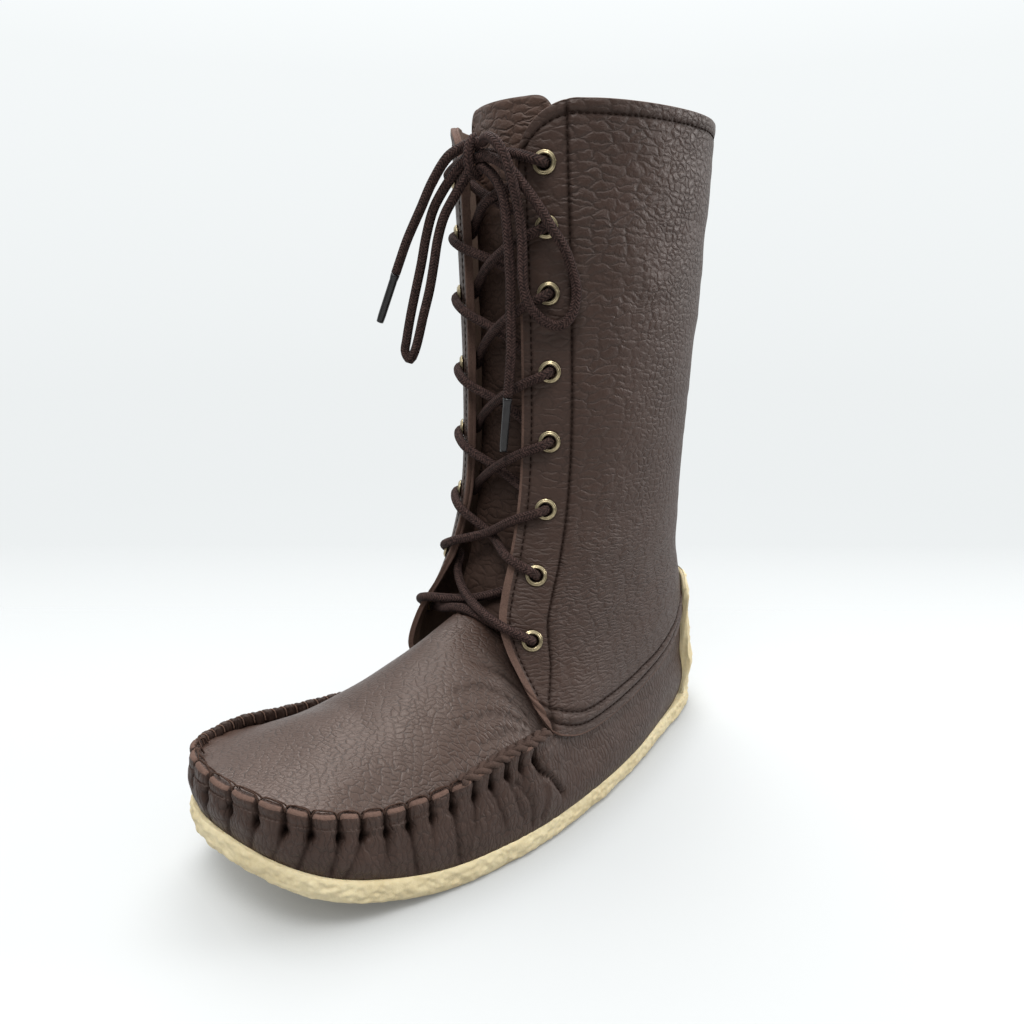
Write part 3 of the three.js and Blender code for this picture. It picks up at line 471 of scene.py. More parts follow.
def rear_surface(at, z):
    """Outer face behind the flap's front edge, at any height."""
    at, z = np.broadcast_arrays(at, z)
    share = np.clip(side_length(at) / rear_length(at), 0, 1)
    upper = np.maximum(z, LEVEL_BASE)
    skin = np.where((side_of(at) > 0)[..., None], skin_point(1, share, upper), skin_point(-1, share, upper))
    foot = wall_foot(at)
    u = np.clip((z - foot[..., 2]) / (LEVEL_BASE - foot[..., 2]), 0, 1)
    flat = mix(foot[..., :2], skin[..., :2], ease(u, 0, 1)[..., None])
    flat = flat + ring_out(at) * (REAR_BULGE * 4 * u * (1 - u))[..., None]
    return raised(flat, z)


def fore_surface(at, u):
    """Outer face of the moccasin wall in front of the flap, from the sole to the seam."""
    here, out = ring_point(at), ring_out(at)
    s = -here[..., 1]
    foot = wall_foot(at)
    flat = here - out * lookup(SEAM, "s", "inset", s)[..., None]
    seam = raised(flat, seam_height(at, s))
    placed = mix(foot, seam, u[..., None])
    placed[..., :2] += out * (WALL_BULGE * 4 * u * (1 - u))[..., None]
    return placed


def wall_point(at, u):
    at, u = np.broadcast_arrays(np.asarray(at, float), np.asarray(u, float))
    foot = wall_foot(at)
    s = -foot[..., 1]
    share = side_length(at) / rear_length(at)
    top = mix(lap_height(s) + LAP_OVERLAP, seam_height(at, s), ease(share, *SEAM_START))
    rear = rear_surface(at, mix(foot[..., 2], top, u))
    ahead = ease(side_length(at) - rear_length(at), *FORE_START)[..., None]
    return mix(rear, fore_surface(at, u), ahead)


def spine_point(step):
    s = mix(CREST["s"][0], CREST["s"][-1], step / SPINE_STEPS[-1])
    return np.stack([lookup(CREST, "s", "x", s), -s, lookup(CREST, "s", "z", s)], -1)


def rib_lengths(side):
    """Lengths round one side of the outline at the ribs that run to the steps of the plug's spine."""
    ahead = ring_at(side, mix(EDGE_S, POLE_SEAM, np.arange(1, PLUG_RIBS + 1) / PLUG_RIBS))
    return np.concatenate([np.array(PLUG_BACK_SHARES) * REAR_LENGTH[side], side_length(ahead)])


def spine_step(at):
    """Which step of the plug's spine the rib at a place on the outline runs to."""
    steps = {side: np.interp(side_length(at), rib_lengths(side), SPINE_STEPS) for side in (1, -1)}
    return np.where(side_of(at) > 0, steps[1], steps[-1])


def plug_point(at, u):
    at, u = np.broadcast_arrays(np.asarray(at, float), np.asarray(u, float))
    seam = wall_point(at, np.ones_like(at))
    spine = spine_point(spine_step(at))
    placed = mix(seam, spine, u[..., None])
    run = spine - seam
    across = np.abs(run[..., 0]) / np.hypot(run[..., 0], run[..., 1])
    s = -spine[..., 1]
    rise = lookup(CREST, "s", "z", s + CREST_STEP) - lookup(CREST, "s", "z", s - CREST_STEP)
    slope = rise / (2 * CREST_STEP)
    shoulder = np.where(side_of(at) > 0, PLUG_SHOULDER[1], PLUG_SHOULDER[-1])
    start = shoulder * run[..., 2] * across * across
    placed[..., 2] = hermite(seam[..., 2], spine[..., 2], start, -slope * run[..., 1], u)
    return placed


# Meshes

def make(name, verts, faces, materials, face_material=None, uv=None, **values):
    """Object from millimetre points and faces; further values by point are read by its materials."""
    mesh = bpy.data.meshes.new(name)
    mesh.from_pydata(metres(verts).tolist(), [], [list(face) for face in faces])
    for material in materials:
        mesh.materials.append(material)
    if face_material is not None:
        mesh.polygons.foreach_set("material_index", np.asarray(face_material, np.int32))
    if uv is not None:
        mesh.uv_layers.new(name="UVMap").data.foreach_set("uv", np.asarray(uv, np.float32).ravel())
    for key, value in values.items():
        mesh.attributes.new(key, "FLOAT", "POINT").data.foreach_set("value", np.asarray(value, np.float32))
    mesh.polygons.foreach_set("use_smooth", np.ones(len(mesh.polygons), bool))
    mesh.update()
    obj = bpy.data.objects.new(name, mesh)
    bpy.context.collection.objects.link(obj)
    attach(obj, "root")
    return obj


def grid_faces(rows, columns, start=0, closed=False):
    """Quads of a grid stored row by row; closed joins the last column to the first."""
    r = np.arange(rows - 1)[:, None]
    c = np.arange(columns if closed else columns - 1)[None, :]
    after = (c + 1) % columns
    low, high = r * columns, (r + 1) * columns
    quads = np.stack([low + c, low + after, high + after, high + c], -1)
    return quads.reshape(-1, 4) + start


def loop_uv(faces, values, period=None):
    """UV of each face corner from values by point; a period joins the ends of a closed grid."""
    uv = np.asarray(values, float)[np.asarray(faces)]
    if period:
        wide = np.ptp(uv[..., 0], axis=1) > period / 2
        low = uv[..., 0] < uv[..., 0].mean(1, keepdims=True)
        uv[..., 0] += np.where(wide[:, None] & low, period, 0)
    return uv


def grid_normals(grid):
    along = np.gradient(grid, axis=1)
    rise = np.gradient(grid, axis=0)
    return unit(np.cross(along, rise))


# A direction that no tube starts along
TUBE_ASIDE = (0.31, 0.2, 0.93)


def tube(path, radius, sides):
    """Closed tube along a dense path: points, faces and UV (length in lace widths, share of the turn)."""
    path = np.asarray(path, float)
    tangents = unit(np.gradient(path, axis=0))
    normal = unit(np.cross(tangents[0], TUBE_ASIDE))
    normals = [normal]
    for tangent in tangents[1:]:
        normal = unit(normal - tangent * (normal @ tangent))
        normals.append(normal)
    normals = np.array(normals)
    sideways = np.cross(tangents, normals)
    angle = 2 * np.pi * np.arange(sides) / sides
    radii = np.broadcast_to(radius, len(path))[:, None, None]
    ring = np.cos(angle)[None, :, None] * normals[:, None] + np.sin(angle)[None, :, None] * sideways[:, None]
    verts = (path[:, None] + radii * ring).reshape(-1, 3)
    count = len(path)
    quads = grid_faces(count, sides, closed=True)
    length = lengths_of(path) / (2 * LACE_RADIUS)
    row, column = np.divmod(np.arange(len(quads)), sides)
    near, far = length[row], length[row + 1]
    corners = [(near, column), (near, column + 1), (far, column + 1), (far, column)]
    uv = np.stack([np.stack([a, b / sides], -1) for a, b in corners], 1).reshape(-1, 2)
    caps = [list(range(sides))[::-1], list(range((count - 1) * sides, count * sides))]
    cap_uv = np.zeros((2 * sides, 2))
    return verts, [*quads.tolist(), *caps], np.vstack([uv, cap_uv])


def joined(parts):
    """One set of points and faces from several, and of UVs where they have them."""
    verts, faces, *uvs = zip(*parts)
    starts = np.cumsum([0, *map(len, verts)]).tolist()
    moved = [[index + start for index in face] for start, part in zip(starts, faces) for face in part]
    return np.vstack(verts), moved, *map(np.vstack, uvs)


# Materials

def feed(tree, socket, value):
    """Links a node's output to a socket, or sets a constant on it."""
    if isinstance(value, bpy.types.NodeSocket):
        tree.links.new(value, socket)
    else:
        socket.default_value = value


def node(tree, kind, inputs=None, **settings):
    made = tree.nodes.new("ShaderNode" + kind)
    for key, value in settings.items():
        setattr(made, key, value)
    for key, value in (inputs or {}).items():
        feed(tree, made.inputs[key], value)
    return made


def new_material(name):
    material = bpy.data.materials.new(name)
    material.use_nodes = True
    tree = material.node_tree
    return material, tree, tree.nodes["Principled BSDF"]


def paint(tree, shader, colour, rough, specular=None, height=None, relief=None, **others):
    """Sets the main shader: colour, roughness, gloss, and a bump from a height, strength and distance."""
    sockets = {"Base Color": colour, "Roughness": rough}
    if specular is not None:
        sockets["Specular IOR Level"] = specular
    if height is not None:
        strength, distance = relief
        bump = node(tree, "Bump", {"Height": height, "Strength": strength, "Distance": distance})
        sockets["Normal"] = bump.outputs[0]
    for key, value in others.items():
        sockets[key.replace("_", " ")] = value
    for key, value in sockets.items():
        feed(tree, shader.inputs[key], value)


def math_node(tree, operation, a, b=0.0, c=0.0):
    return node(tree, "Math", {0: a, 1: b, 2: c}, operation=operation).outputs[0]


def times(tree, a, b):
    return math_node(tree, "MULTIPLY", a, b)


def times_plus(tree, a, b, c):
    return math_node(tree, "MULTIPLY_ADD", a, b, c)


def vector_node(tree, operation, inputs, output=0):
    return node(tree, "VectorMath", inputs, operation=operation).outputs[output]


def coordinates(tree, kind="Object"):
    return node(tree, "TexCoord").outputs[kind]


def attribute(tree, name):
    return node(tree, "Attribute", attribute_name=name).outputs["Fac"]


def clouds(tree, where, scale, **values):
    """Noise from 0 to 1."""
    return node(tree, "TexNoise", {"Vector": where, "Scale": scale, **values}).outputs["Fac"]


def remap(tree, value, low, high, to_low=0.0, to_high=1.0, kind="LINEAR"):
    ends = {"Value": value, "From Min": low, "From Max": high, "To Min": to_low, "To Max": to_high}
    return node(tree, "MapRange", ends, interpolation_type=kind).outputs[0]


def blend_colour(tree, factor, a, b):
    return node(tree, "Mix", {0: factor, 6: a, 7: b}, data_type="RGBA").outputs[2]


def rgb(r, g, b):
    return (r, g, b, 1)


# Leather: scale and reach of the pebbles' drift, size of the small pebbles as shares of the large ones,
# and how far from their edge the pebbles' groove, flat top and dome reach
GRAIN_DRIFT = ((0.1, 4.0), (0.35, 1.6))
GRAIN_RANDOM = 0.85
FINE_GRAIN = (0.36, 0.42)
FINE_EDGE = 0.25
GROOVE_EDGE = 0.09
FLAT_EDGE = 0.2
DOME_EDGE = 0.45
GRAIN_DEPTH = 0.0009
LEATHER_TINT = rgb(1, 0.9, 0.84)


def leather(
    name, light, dark, grain, zones=(), relief=0.7, gloss=0.5, shine=0.4, least=0.35, soft=0.45, line=0.5,
):
    """Tumbled leather over a UV in millimetres: flat pebbles of the grain's size between fine grooves.

    Each zone has its own grain, and fades in along one way of the UV."""
    material, tree, shader = new_material(name)
    where, place = coordinates(tree), coordinates(tree, "UV")
    calm, shade = attribute(tree, "calm"), attribute(tree, "shade")
    warped = place
    for scale, reach in GRAIN_DRIFT:
        drift = node(tree, "TexNoise", {"Vector": place, "Scale": scale}, noise_dimensions="2D")
        centred = vector_node(tree, "SUBTRACT", {0: drift.outputs["Color"], 1: (0.5, 0.5, 0.5)})
        moved = vector_node(tree, "SCALE", {0: centred, "Scale": reach})
        warped = vector_node(tree, "ADD", {0: warped, 1: moved})
    ways = node(tree, "SeparateXYZ", {0: warped}).outputs

    def pebbles(wide, tall):
        scaled = vector_node(tree, "MULTIPLY", {0: warped, 1: (1 / wide, 1 / tall, 0)})
        inputs = {"Vector": scaled, "Scale": 1.0, "Randomness": GRAIN_RANDOM}
        cells = node(tree, "TexVoronoi", inputs, voronoi_dimensions="2D", feature="DISTANCE_TO_EDGE")
        return cells.outputs["Distance"]

    edge = pebbles(*grain)
    for wide, tall, way, low, high in zones:
        share = remap(tree, math_node(tree, "ABSOLUTE", ways[way]), low, high)
        edge = node(tree, "Mix", {0: share, 2: edge, 3: pebbles(wide, tall)}).outputs[0]
    fine = remap(tree, pebbles(FINE_GRAIN[0] * grain[0], FINE_GRAIN[1] * grain[1]), 0.0, FINE_EDGE)
    flat, dome = (remap(tree, edge, 0.0, high, kind="SMOOTHSTEP") for high in (FLAT_EDGE, DOME_EDGE))
    groove = remap(tree, edge, 0.0, GROOVE_EDGE, 1.0, 0.0)
    broken = remap(tree, clouds(tree, where, 100, Detail=2), 0.3, 0.65, least, 1.0)
    depth = times(tree, broken, times_plus(tree, calm, -0.8, 1.0))
    pores = clouds(tree, where, 1400, Detail=3, Roughness=0.6)
    patch = remap(tree, clouds(tree, where, 38, Detail=3), 0.3, 0.7)
    height = times_plus(tree, dome, soft, times(tree, flat, 1 - soft))
    height = times(tree, times_plus(tree, fine, 0.14, height), depth)
    height = times_plus(tree, pores, 0.1, height)
    tone = times_plus(tree, times(tree, groove, depth), -line, times_plus(tree, fine, 0.12, 0.74))
    tone = times_plus(tree, patch, 0.14, tone)
    # Painted shade: where the shade attribute is set, the leather is painted darker
    tone = times(tree, tone, math_node(tree, "SUBTRACT", 1.0, shade))
    rough = times_plus(tree, dome, -0.1, times_plus(tree, pores, 0.14, gloss))
    rough = times_plus(tree, shade, 0.3, rough)
    # Painted shade also dims the specular where the shade attribute is set
    shaded_specular = times_plus(tree, shade, -0.85 * shine, shine)
    colour = blend_colour(tree, tone, dark, light)
    paint(tree, shader, colour, rough, shaded_specular, height, (relief, GRAIN_DEPTH), Specular_Tint=LEATHER_TINT)
    return material


def fuzzy(name, light, dark, size=1.2, relief=0.5, rough=0.9, specular=0.3):
    """Flesh side, raw cut edge, suede or thread."""
    material, tree, shader = new_material(name)
    where = coordinates(tree)
    fibre = clouds(tree, where, 1000 / size, Detail=5, Roughness=0.7)
    patch = clouds(tree, where, 90, Detail=2)
    tone = times_plus(tree, fibre, 0.7, times(tree, patch, 0.4))
    colour = blend_colour(tree, remap(tree, tone, 0.3, 0.8), dark, light)
    paint(tree, shader, colour, rough, specular, fibre, (relief, 0.0004))
    return material


def crepe():
    """Natural crepe rubber: cream, crinkled and a little yellow in its folds."""
    material, tree, shader = new_material("crepe_rubber")
    where = coordinates(tree)
    crinkle = clouds(tree, where, 420, Detail=6, Roughness=0.65)
    folds = node(tree, "TexVoronoi", {"Vector": where, "Scale": 260}, feature="SMOOTH_F1").outputs["Distance"]
    patch = clouds(tree, where, 45, Detail=3)
    tone = times_plus(tree, crinkle, 0.5, times(tree, patch, 0.6))
    share = remap(tree, tone, 0.35, 0.75)
    colour = blend_colour(tree, share, rgb(0.49, 0.39, 0.215), rgb(0.66, 0.565, 0.36))
    height = times_plus(tree, crinkle, 0.8, times(tree, folds, 0.5))
    paint(
        tree, shader, colour, 0.75, height=height, relief=(0.5, 0.0008),
        Subsurface_Weight=0.12, Subsurface_Radius=(0.003, 0.002, 0.001),
    )
    return material


def antique_brass():
    material, tree, shader = new_material("antique_brass")
    patina = remap(tree, clouds(tree, coordinates(tree), 420, Detail=4, Roughness=0.6), 0.25, 0.65)
    colour = blend_colour(tree, patina, rgb(0.2, 0.16, 0.1), rgb(0.47, 0.39, 0.24))
    paint(tree, shader, colour, times_plus(tree, patina, -0.16, 0.42), Metallic=1)
    return material


def braid(name, light, dark):
    """Round braided lace: crossing yarns by UV, with lighter flecks."""
    material, tree, shader = new_material(name)
    parts = node(tree, "SeparateXYZ", {0: coordinates(tree, "UV")}).outputs
    plait = math_node(tree, "FRACT", times(tree, parts[1], 4.0))
    lean = math_node(tree, "ABSOLUTE", times_plus(tree, plait, 2.0, -1.0))
    phase = times_plus(tree, parts[0], 3.2, lean)
    wave = math_node(tree, "SINE", times(tree, phase, 2 * math.pi))
    yarn = times_plus(tree, wave, 0.5, 0.5)
    valley = math_node(tree, "POWER", math_node(tree, "SUBTRACT", 1.0, lean), 4.0)
    weave = times(tree, yarn, math_node(tree, "SUBTRACT", 1.0, valley))
    where = coordinates(tree)
    fleck = remap(tree, clouds(tree, where, 900, Detail=3), 0.4, 0.7)
    fibre = clouds(tree, where, 3500, Detail=2)
    tone = times_plus(tree, weave, 0.6, times(tree, fleck, 0.5))
    colour = blend_colour(tree, tone, dark, light)
    paint(tree, shader, colour, 0.85, 0.15, times_plus(tree, fibre, 0.25, weave), (0.7, 0.0005))
    return material


def smoky_plastic():
    material, tree, shader = new_material("smoky_plastic")
    cloud = clouds(tree, coordinates(tree), 300, Detail=2)
    colour = blend_colour(tree, cloud, rgb(0.008, 0.007, 0.007), rgb(0.03, 0.028, 0.029))
    paint(tree, shader, colour, 0.2, 0.3)
    return material


BROWN = rgb(0.052, 0.0275, 0.0195)
UMBER = rgb(0.042, 0.0215, 0.0155)
DEEP = rgb(0.007, 0.0036, 0.0026)
SHAFT_ZONES = ((3.9, 2.8, 0, 108, 82), (8.0, 1.8, 1, 150, 100))
SHAFT_LEATHER = leather("shaft_leather", UMBER, DEEP, (8.5, 3.5), SHAFT_ZONES)
PLUG_LOOK = {"relief": 0.26, "gloss": 0.4, "shine": 0.5, "least": 0.45, "soft": 0.2, "line": 0.8}
PLUG_LEATHER = leather("plug_leather", BROWN, DEEP, (3.6, 1.5), **PLUG_LOOK)
WALL_LEATHER = leather("wall_leather", UMBER, DEEP, (2.2, 6), relief=0.55)
# The tongue's leather is lighter than the shaft's, a painted highlight on its top; lower down it is given
# painted shade
TONGUE_LEATHER = leather("tongue_leather", rgb(0.078, 0.042, 0.03), DEEP, (8, 3.4), relief=0.6)
FLESH = fuzzy("flesh_side", rgb(0.13, 0.08, 0.055), rgb(0.06, 0.036, 0.025))
RAW_EDGE = fuzzy("raw_edge", rgb(0.145, 0.084, 0.063), rgb(0.05, 0.028, 0.021), size=0.8)
SUEDE = fuzzy("insole_suede", rgb(0.17, 0.105, 0.07), rgb(0.09, 0.052, 0.034), size=1)
CREPE = crepe()
BRASS = antique_brass()
WRAPPED = fuzzy("wrapped_edge", rgb(0.085, 0.05, 0.038), rgb(0.02, 0.011, 0.008), size=0.8)
LACE = braid("braided_lace", rgb(0.08, 0.045, 0.038), rgb(0.008, 0.0045, 0.004))
TIP = smoky_plastic()
SEAM_THREAD = fuzzy("seam_thread", rgb(0.075, 0.043, 0.032), rgb(0.02, 0.011, 0.008), size=0.5, specular=0.1)
WHIPPING = fuzzy("whipping_thread", rgb(0.2, 0.125, 0.095), rgb(0.07, 0.04, 0.03), size=0.5, specular=0.1)
THREAD = fuzzy("waxed_thread", rgb(0.026, 0.015, 0.011), rgb(0.008, 0.004, 0.003), size=0.5, specular=0.08)


# Camera at the photograph's angle

CAMERA_AZIMUTH = 0.8180
CAMERA_PITCH = 0.2447
CAMERA_ROLL = -0.0017
CAMERA_PLACE = (267.53, -379.93, 221.37)
FOCAL_PIXELS = 799.9
PHOTO_SIDE = 1024
SENSOR = 36


def add_camera():
    data = bpy.data.cameras.new("camera")
    data.sensor_width = SENSOR
    data.lens = SENSOR * FOCAL_PIXELS / PHOTO_SIDE
    data.clip_start = 0.01
    camera = bpy.data.objects.new("camera", data)
    level = math.cos(CAMERA_PITCH)
    sine, cosine = math.sin(CAMERA_AZIMUTH), math.cos(CAMERA_AZIMUTH)
    forward = Vector((-sine * level, cosine * level, -math.sin(CAMERA_PITCH)))
    right = Vector((cosine, sine, 0))
    up = right.cross(forward)
    turn = Matrix((right, up, -forward)).transposed().to_4x4() @ Matrix.Rotation(-CAMERA_ROLL, 4, "Z")
    camera.matrix_world = Matrix.Translation(Vector(metres(CAMERA_PLACE))) @ turn
    bpy.context.collection.objects.link(camera)
    bpy.context.scene.camera = camera


add_camera()


# Lace: free bow, then the run through the eyelets

TUBE_STEP = 1.4
TUBE_SIDES = 14
TIP_RADIUS = 2.05
# How far a lace tip narrows, and between which shares of its length
TIP_NARROWING = ((0.25, 0, 0.2), (0.15, 0.85, 1))
TIP_CRIMP = {"at": 0.12, "width": 0.03, "depth": 0.12}


def route_points(route):
    return np.array([(x, -s, z) for x, s, z in route], float)


def dense(points, step=TUBE_STEP):
    points = np.asarray(points, float)
    rough = lengths_of(points)[-1]
    fine = spline(points, int(rough / step) * 3)
    length = lengths_of(fine)
    even = np.linspace(0, length[-1], max(4, int(length[-1] / step)))
    return np.stack([np.interp(even, length, fine[:, k]) for k in range(3)], -1)


def add_tip(name):
    start, end = route_points(TIP_ROUTES[name])
    along = np.linspace(0, 1, 24)
    path = mix(start, end, along[:, None])
    width = TIP_RADIUS - dent(along - TIP_CRIMP["at"], TIP_CRIMP["width"], TIP_CRIMP["depth"])
    for by, low, high in TIP_NARROWING:
        width = width - by * ease(along, low, high)
    verts, faces, uv = tube(path, width, TUBE_SIDES)
    tip = make(name.replace("lace", "bow"), verts, faces, [TIP], uv=uv)
    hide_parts(name)
    return tip


def add_bow():
    tips = {"lace_end_right": "lace_tip_right", "lace_end_left": "lace_tip_left"}
    for name, route in BOW_ROUTES.items():
        path = dense(route_points(route))
        verts, faces, uv = tube(path, LACE_RADIUS, TUBE_SIDES)
        piece = make(name.replace("lace", "bow"), verts, faces, [LACE], uv=uv)
        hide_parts(name)
        line = metres(path)
        pieces = [add_tip(tips[name])] if name in tips else []
        tuple(line[0])
        float(lengths_of(line)[-1])
        [tuple(p) for p in line]


add_bow()


def eyelet_place(side, row):
    z = EYELET_HEIGHTS[row - 1]
    share = 1 - EYELET_FROM_EDGE / section_length(side, z)
    out = skin_normal(side, share, z)
    return skin_point(side, share, z) + out * (LAP_GAP + LEATHER), out


SLOPE_STEP = 4


def throat_row(xs, z):
    """Front of the leg at one height: an arch across the throat, and the flaps' own skin beyond it."""
    outer, inner = skin_point(1, 1, z), skin_point(-1, 1, z)
    across = (xs - inner[0]) / (outer[0] - inner[0])
    y = mix(inner[1], outer[1], across) - THROAT_CROWN * 4 * across * (1 - across)
    shares = np.linspace(1, 0.5, 120)
    for side, beyond in ((1, across > 1), (-1, across < 0)):
        line = skin_point(side, shares, z)
        y = np.where(beyond, np.interp(side * xs, side * line[:, 0], line[:, 1]), y)
    return np.stack([xs, y, np.full_like(xs, z)], -1)


def over_tongue(z, lift):
    low, here, high = (throat_row(np.zeros(1), z + d)[0] for d in (-SLOPE_STEP, 0, SLOPE_STEP))
    up = high - low
    return here + unit(np.array([0, -up[2], up[1]])) * lift


# Lace at an eyelet: where it passes the hole, and how it lies on the flange and on the flap's edge
FLANGE = 1.45
HOLE_OUTSIDE = 0.4
HOLE_INSIDE = 1.6
FLANGE_PRESS = 0.75
FLANGE_AHEAD = 2.2
EDGE_CLEARANCE = 0.9
INSIDE_CLEARANCE = 0.6
INSIDE_PRESS = 0.8


def over_flange(here, out, edge):
    """Points from the hole of an eyelet over its flange towards the flap's edge."""
    lift = FLANGE + LACE_RADIUS * FLANGE_PRESS
    return [here + out * HOLE_OUTSIDE, here + out * lift + unit(edge - here) * FLANGE_AHEAD]


def strand_end(side, row, other_row, outside):
    """Points from the hole of an eyelet to the flap's edge."""
    z = EYELET_HEIGHTS[row - 1]
    edge_z = mix(z, EYELET_HEIGHTS[other_row - 1], EDGE_CROSSED_AT)
    edge, normal = skin_point(side, 1, edge_z), skin_normal(side, 1, edge_z)
    here, out = eyelet_place(side, row)
    if outside:
        lift = LAP_GAP + LEATHER + LACE_RADIUS + EDGE_CLEARANCE
        return [*over_flange(here, out, edge), edge + normal * lift]
    below = here - out * (LEATHER + FACING + LACE_RADIUS + INSIDE_CLEARANCE)
    return [here - out * HOLE_INSIDE, below, edge - normal * (FACING + LACE_RADIUS * INSIDE_PRESS)]


KNOT_ENTRY = (5.0, 0.5, 0.6)


def crossing_height(crossing):
    return (EYELET_HEIGHTS[crossing["low"] - 1] + EYELET_HEIGHTS[crossing["high"] - 1]) / 2


def strand_points(start_side):
    """Half of the lace: from the middle of the bottom bar, through the eyelets to the knot."""
    bar = route_points(BOTTOM_BAR)
    side = start_side
    middle = len(bar) // 2
    points = list(bar[middle:] if side > 0 else bar[middle::-1])
    here, out = eyelet_place(side, len(EYELET_HEIGHTS))
    points += [here - out * (LEATHER + LACE_RADIUS), here - out * HOLE_INSIDE]
    for crossing in CROSSINGS:
        low, high = crossing["low"], crossing["high"]
        lift = CROSSING_LIFT["over" if side == crossing["over"] else "under"]
        points += strand_end(side, low, high, crossing["low_out"])
        points.append(over_tongue(crossing_height(crossing), lift))
        side = -side
        points += strand_end(side, high, low, crossing["high_out"])[::-1]
    here, out = eyelet_place(side, 1)
    normal = skin_normal(side, 1, TOP_BAR_Z)
    edge = skin_point(side, 1, TOP_BAR_Z) + normal * (LAP_GAP + LEATHER + LACE_RADIUS)
    aside, behind, below = KNOT_ENTRY
    into_knot = np.array([side * aside, -KNOT[1] + behind, KNOT[2] - below])
    return [*points, *over_flange(here, out, edge), edge, into_knot]


def thinned(points, least=1.2):
    """The same run without points that nearly repeat the one before."""
    kept = [points[0]]
    for point in points[1:]:
        if np.linalg.norm(point - kept[-1]) > least:
            kept.append(point)
    return np.array(kept)


def add_lace():
    path = thinned([*strand_points(-1)[::-1], *strand_points(1)[1:]])
    verts, faces, uv = tube(dense(path), LACE_RADIUS, TUBE_SIDES)
    lace = make("lace_run", verts, faces, [LACE], uv=uv)
    crossings = [f"lace_cross_{i + 1}" for i in range(len(CROSSINGS))]
    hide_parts(*crossings, "lace_bar_top", "lace_bar_bottom")


add_lace()


# Knot: the step between its crossing strands, and the turn of lace round them
KNOT_LAYER = np.array([0, 0.9, -0.5])
KNOT_SAG = 0.6
KNOT_STEP = 0.9
WRAP_SHIFT = np.array([-0.2, -0.4, -1.2])
WRAP_SIZE = (1.5, 4.3, 6.9)
WRAP_OPEN = 0.15


def add_knot():
    ends = {name: route_points(route) for name, route in BOW_ROUTES.items()}
    pairs = (
        (ends["lace_loop_right"][0], ends["lace_end_left"][0]),
        (ends["lace_loop_right"][-1], ends["lace_loop_left"][0]),
        (ends["lace_end_right"][0], ends["lace_loop_left"][-1]),
    )
    parts = []
    for k, (a, b) in enumerate(pairs):
        middle = (a + b) / 2 + (k - 1) * KNOT_LAYER
        strand = dense([a, mix(a, middle, KNOT_SAG), mix(b, middle, KNOT_SAG), b], KNOT_STEP)
        parts.append(tube(strand, LACE_RADIUS, TUBE_SIDES))
    centre = np.array([KNOT[0], -KNOT[1], KNOT[2]]) + WRAP_SHIFT
    angle = np.linspace(WRAP_OPEN, 2 * np.pi - WRAP_OPEN, 40)
    turn = np.stack([np.cos(angle / 2), -np.sin(angle), np.cos(angle)], -1)
    parts.append(tube(centre + turn * WRAP_SIZE, LACE_RADIUS, TUBE_SIDES))
    verts, faces, uv = joined(parts)
    knot = make("bow_knot", verts, faces, [LACE], uv=uv)
    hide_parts("lace_knot")


add_knot()


# Eyelets: rolled rims with a step, round a dark bore

EYELET_PROFILE = (
    (2.8, -3.3), (3.05, -3.3), (3.1, 0.15), (4.72, 0.12), (4.78, 0.45), (4.62, 0.8), (4.25, 1.0),
    (4.05, 0.95), (3.95, 1.15), (3.7, 1.4), (3.35, 1.45), (3.05, 1.25), (2.88, 0.7), (2.82, 0.0),
)
EYELET_SIDES = 48


def add_eyelets():
    profile = np.array(EYELET_PROFILE)
    angle = 2 * np.pi * np.arange(EYELET_SIDES) / EYELET_SIDES
    faces = grid_faces(len(profile) + 1, EYELET_SIDES, closed=True)[:, ::-1] % (len(profile) * EYELET_SIDES)
    for side, word in ((1, "lateral"), (-1, "medial")):
        for row in range(1, len(EYELET_HEIGHTS) + 1):
            here, out = eyelet_place(side, row)
            first = unit(np.cross(out, (0, 0, 1)))
            second = np.cross(out, first)
            ring = np.cos(angle)[:, None] * first + np.sin(angle)[:, None] * second
            verts = here + profile[:, None, :1] * ring[None] + profile[:, None, 1:] * out
            eyelet = make(f"brass_eyelet_{word}_{row}", verts.reshape(-1, 3), faces, [BRASS])
            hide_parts(f"eyelet_{word}_{row}")


add_eyelets()


# Shaft

SHAFT_ROWS = 124
SEAM_ROWS = (0, 0.5, 1.5, 3, 3.8, 4.5, 5.2, 6, 7.2, 8.5, 9.3, 10, 10.7, 11.5, 13)
COLLAR_ROWS = (7.5, 6.4, 5.6, 5, 4.4, 3.6, 2.2, 1.2, 0.5, 0)
CORNER_LIFT = 7
COLLAR_STITCH = 5
EYESTAY_STITCH = table(
    "z reach", (44, 2.5), (55, 7), (62, 11.5), (72, 16.5), (85, 19.5), (100, 20.3), (COLLAR_HEIGHT, 20.3),
)
CURL_REACH = 9
LAP_STITCHES = (4.5, 10)
EDGE_STITCH = 4
STITCH_FOOT = 52
EYELET_HOLE = 3.3
EYELET_DEPTH = 6
RIM_SHARES = (0.06, 0.16, 0.38, 0.54, 0.6, 0.66, 0.72, 0.88, 0.96)
RIM_LAYERED = (0.25, 0.35, 0.3, 0.05, -0.15, 0.2, 0.4, 0.45, 0.3)
RIM_SINGLE = 0.4
RIM_STEPS_IN = 3
SHAFT_SMOOTH = table(
    "z calm",
    (40, 0.65), (62, 0.5), (90, 0.2), (115, 0.15), (145, 0.4), (205, 0.4), (245, 0.05), (COLLAR_HEIGHT, 0),
)
EYESTAY_SMOOTH = {"by": 0.6, "reach": (16, 22)}
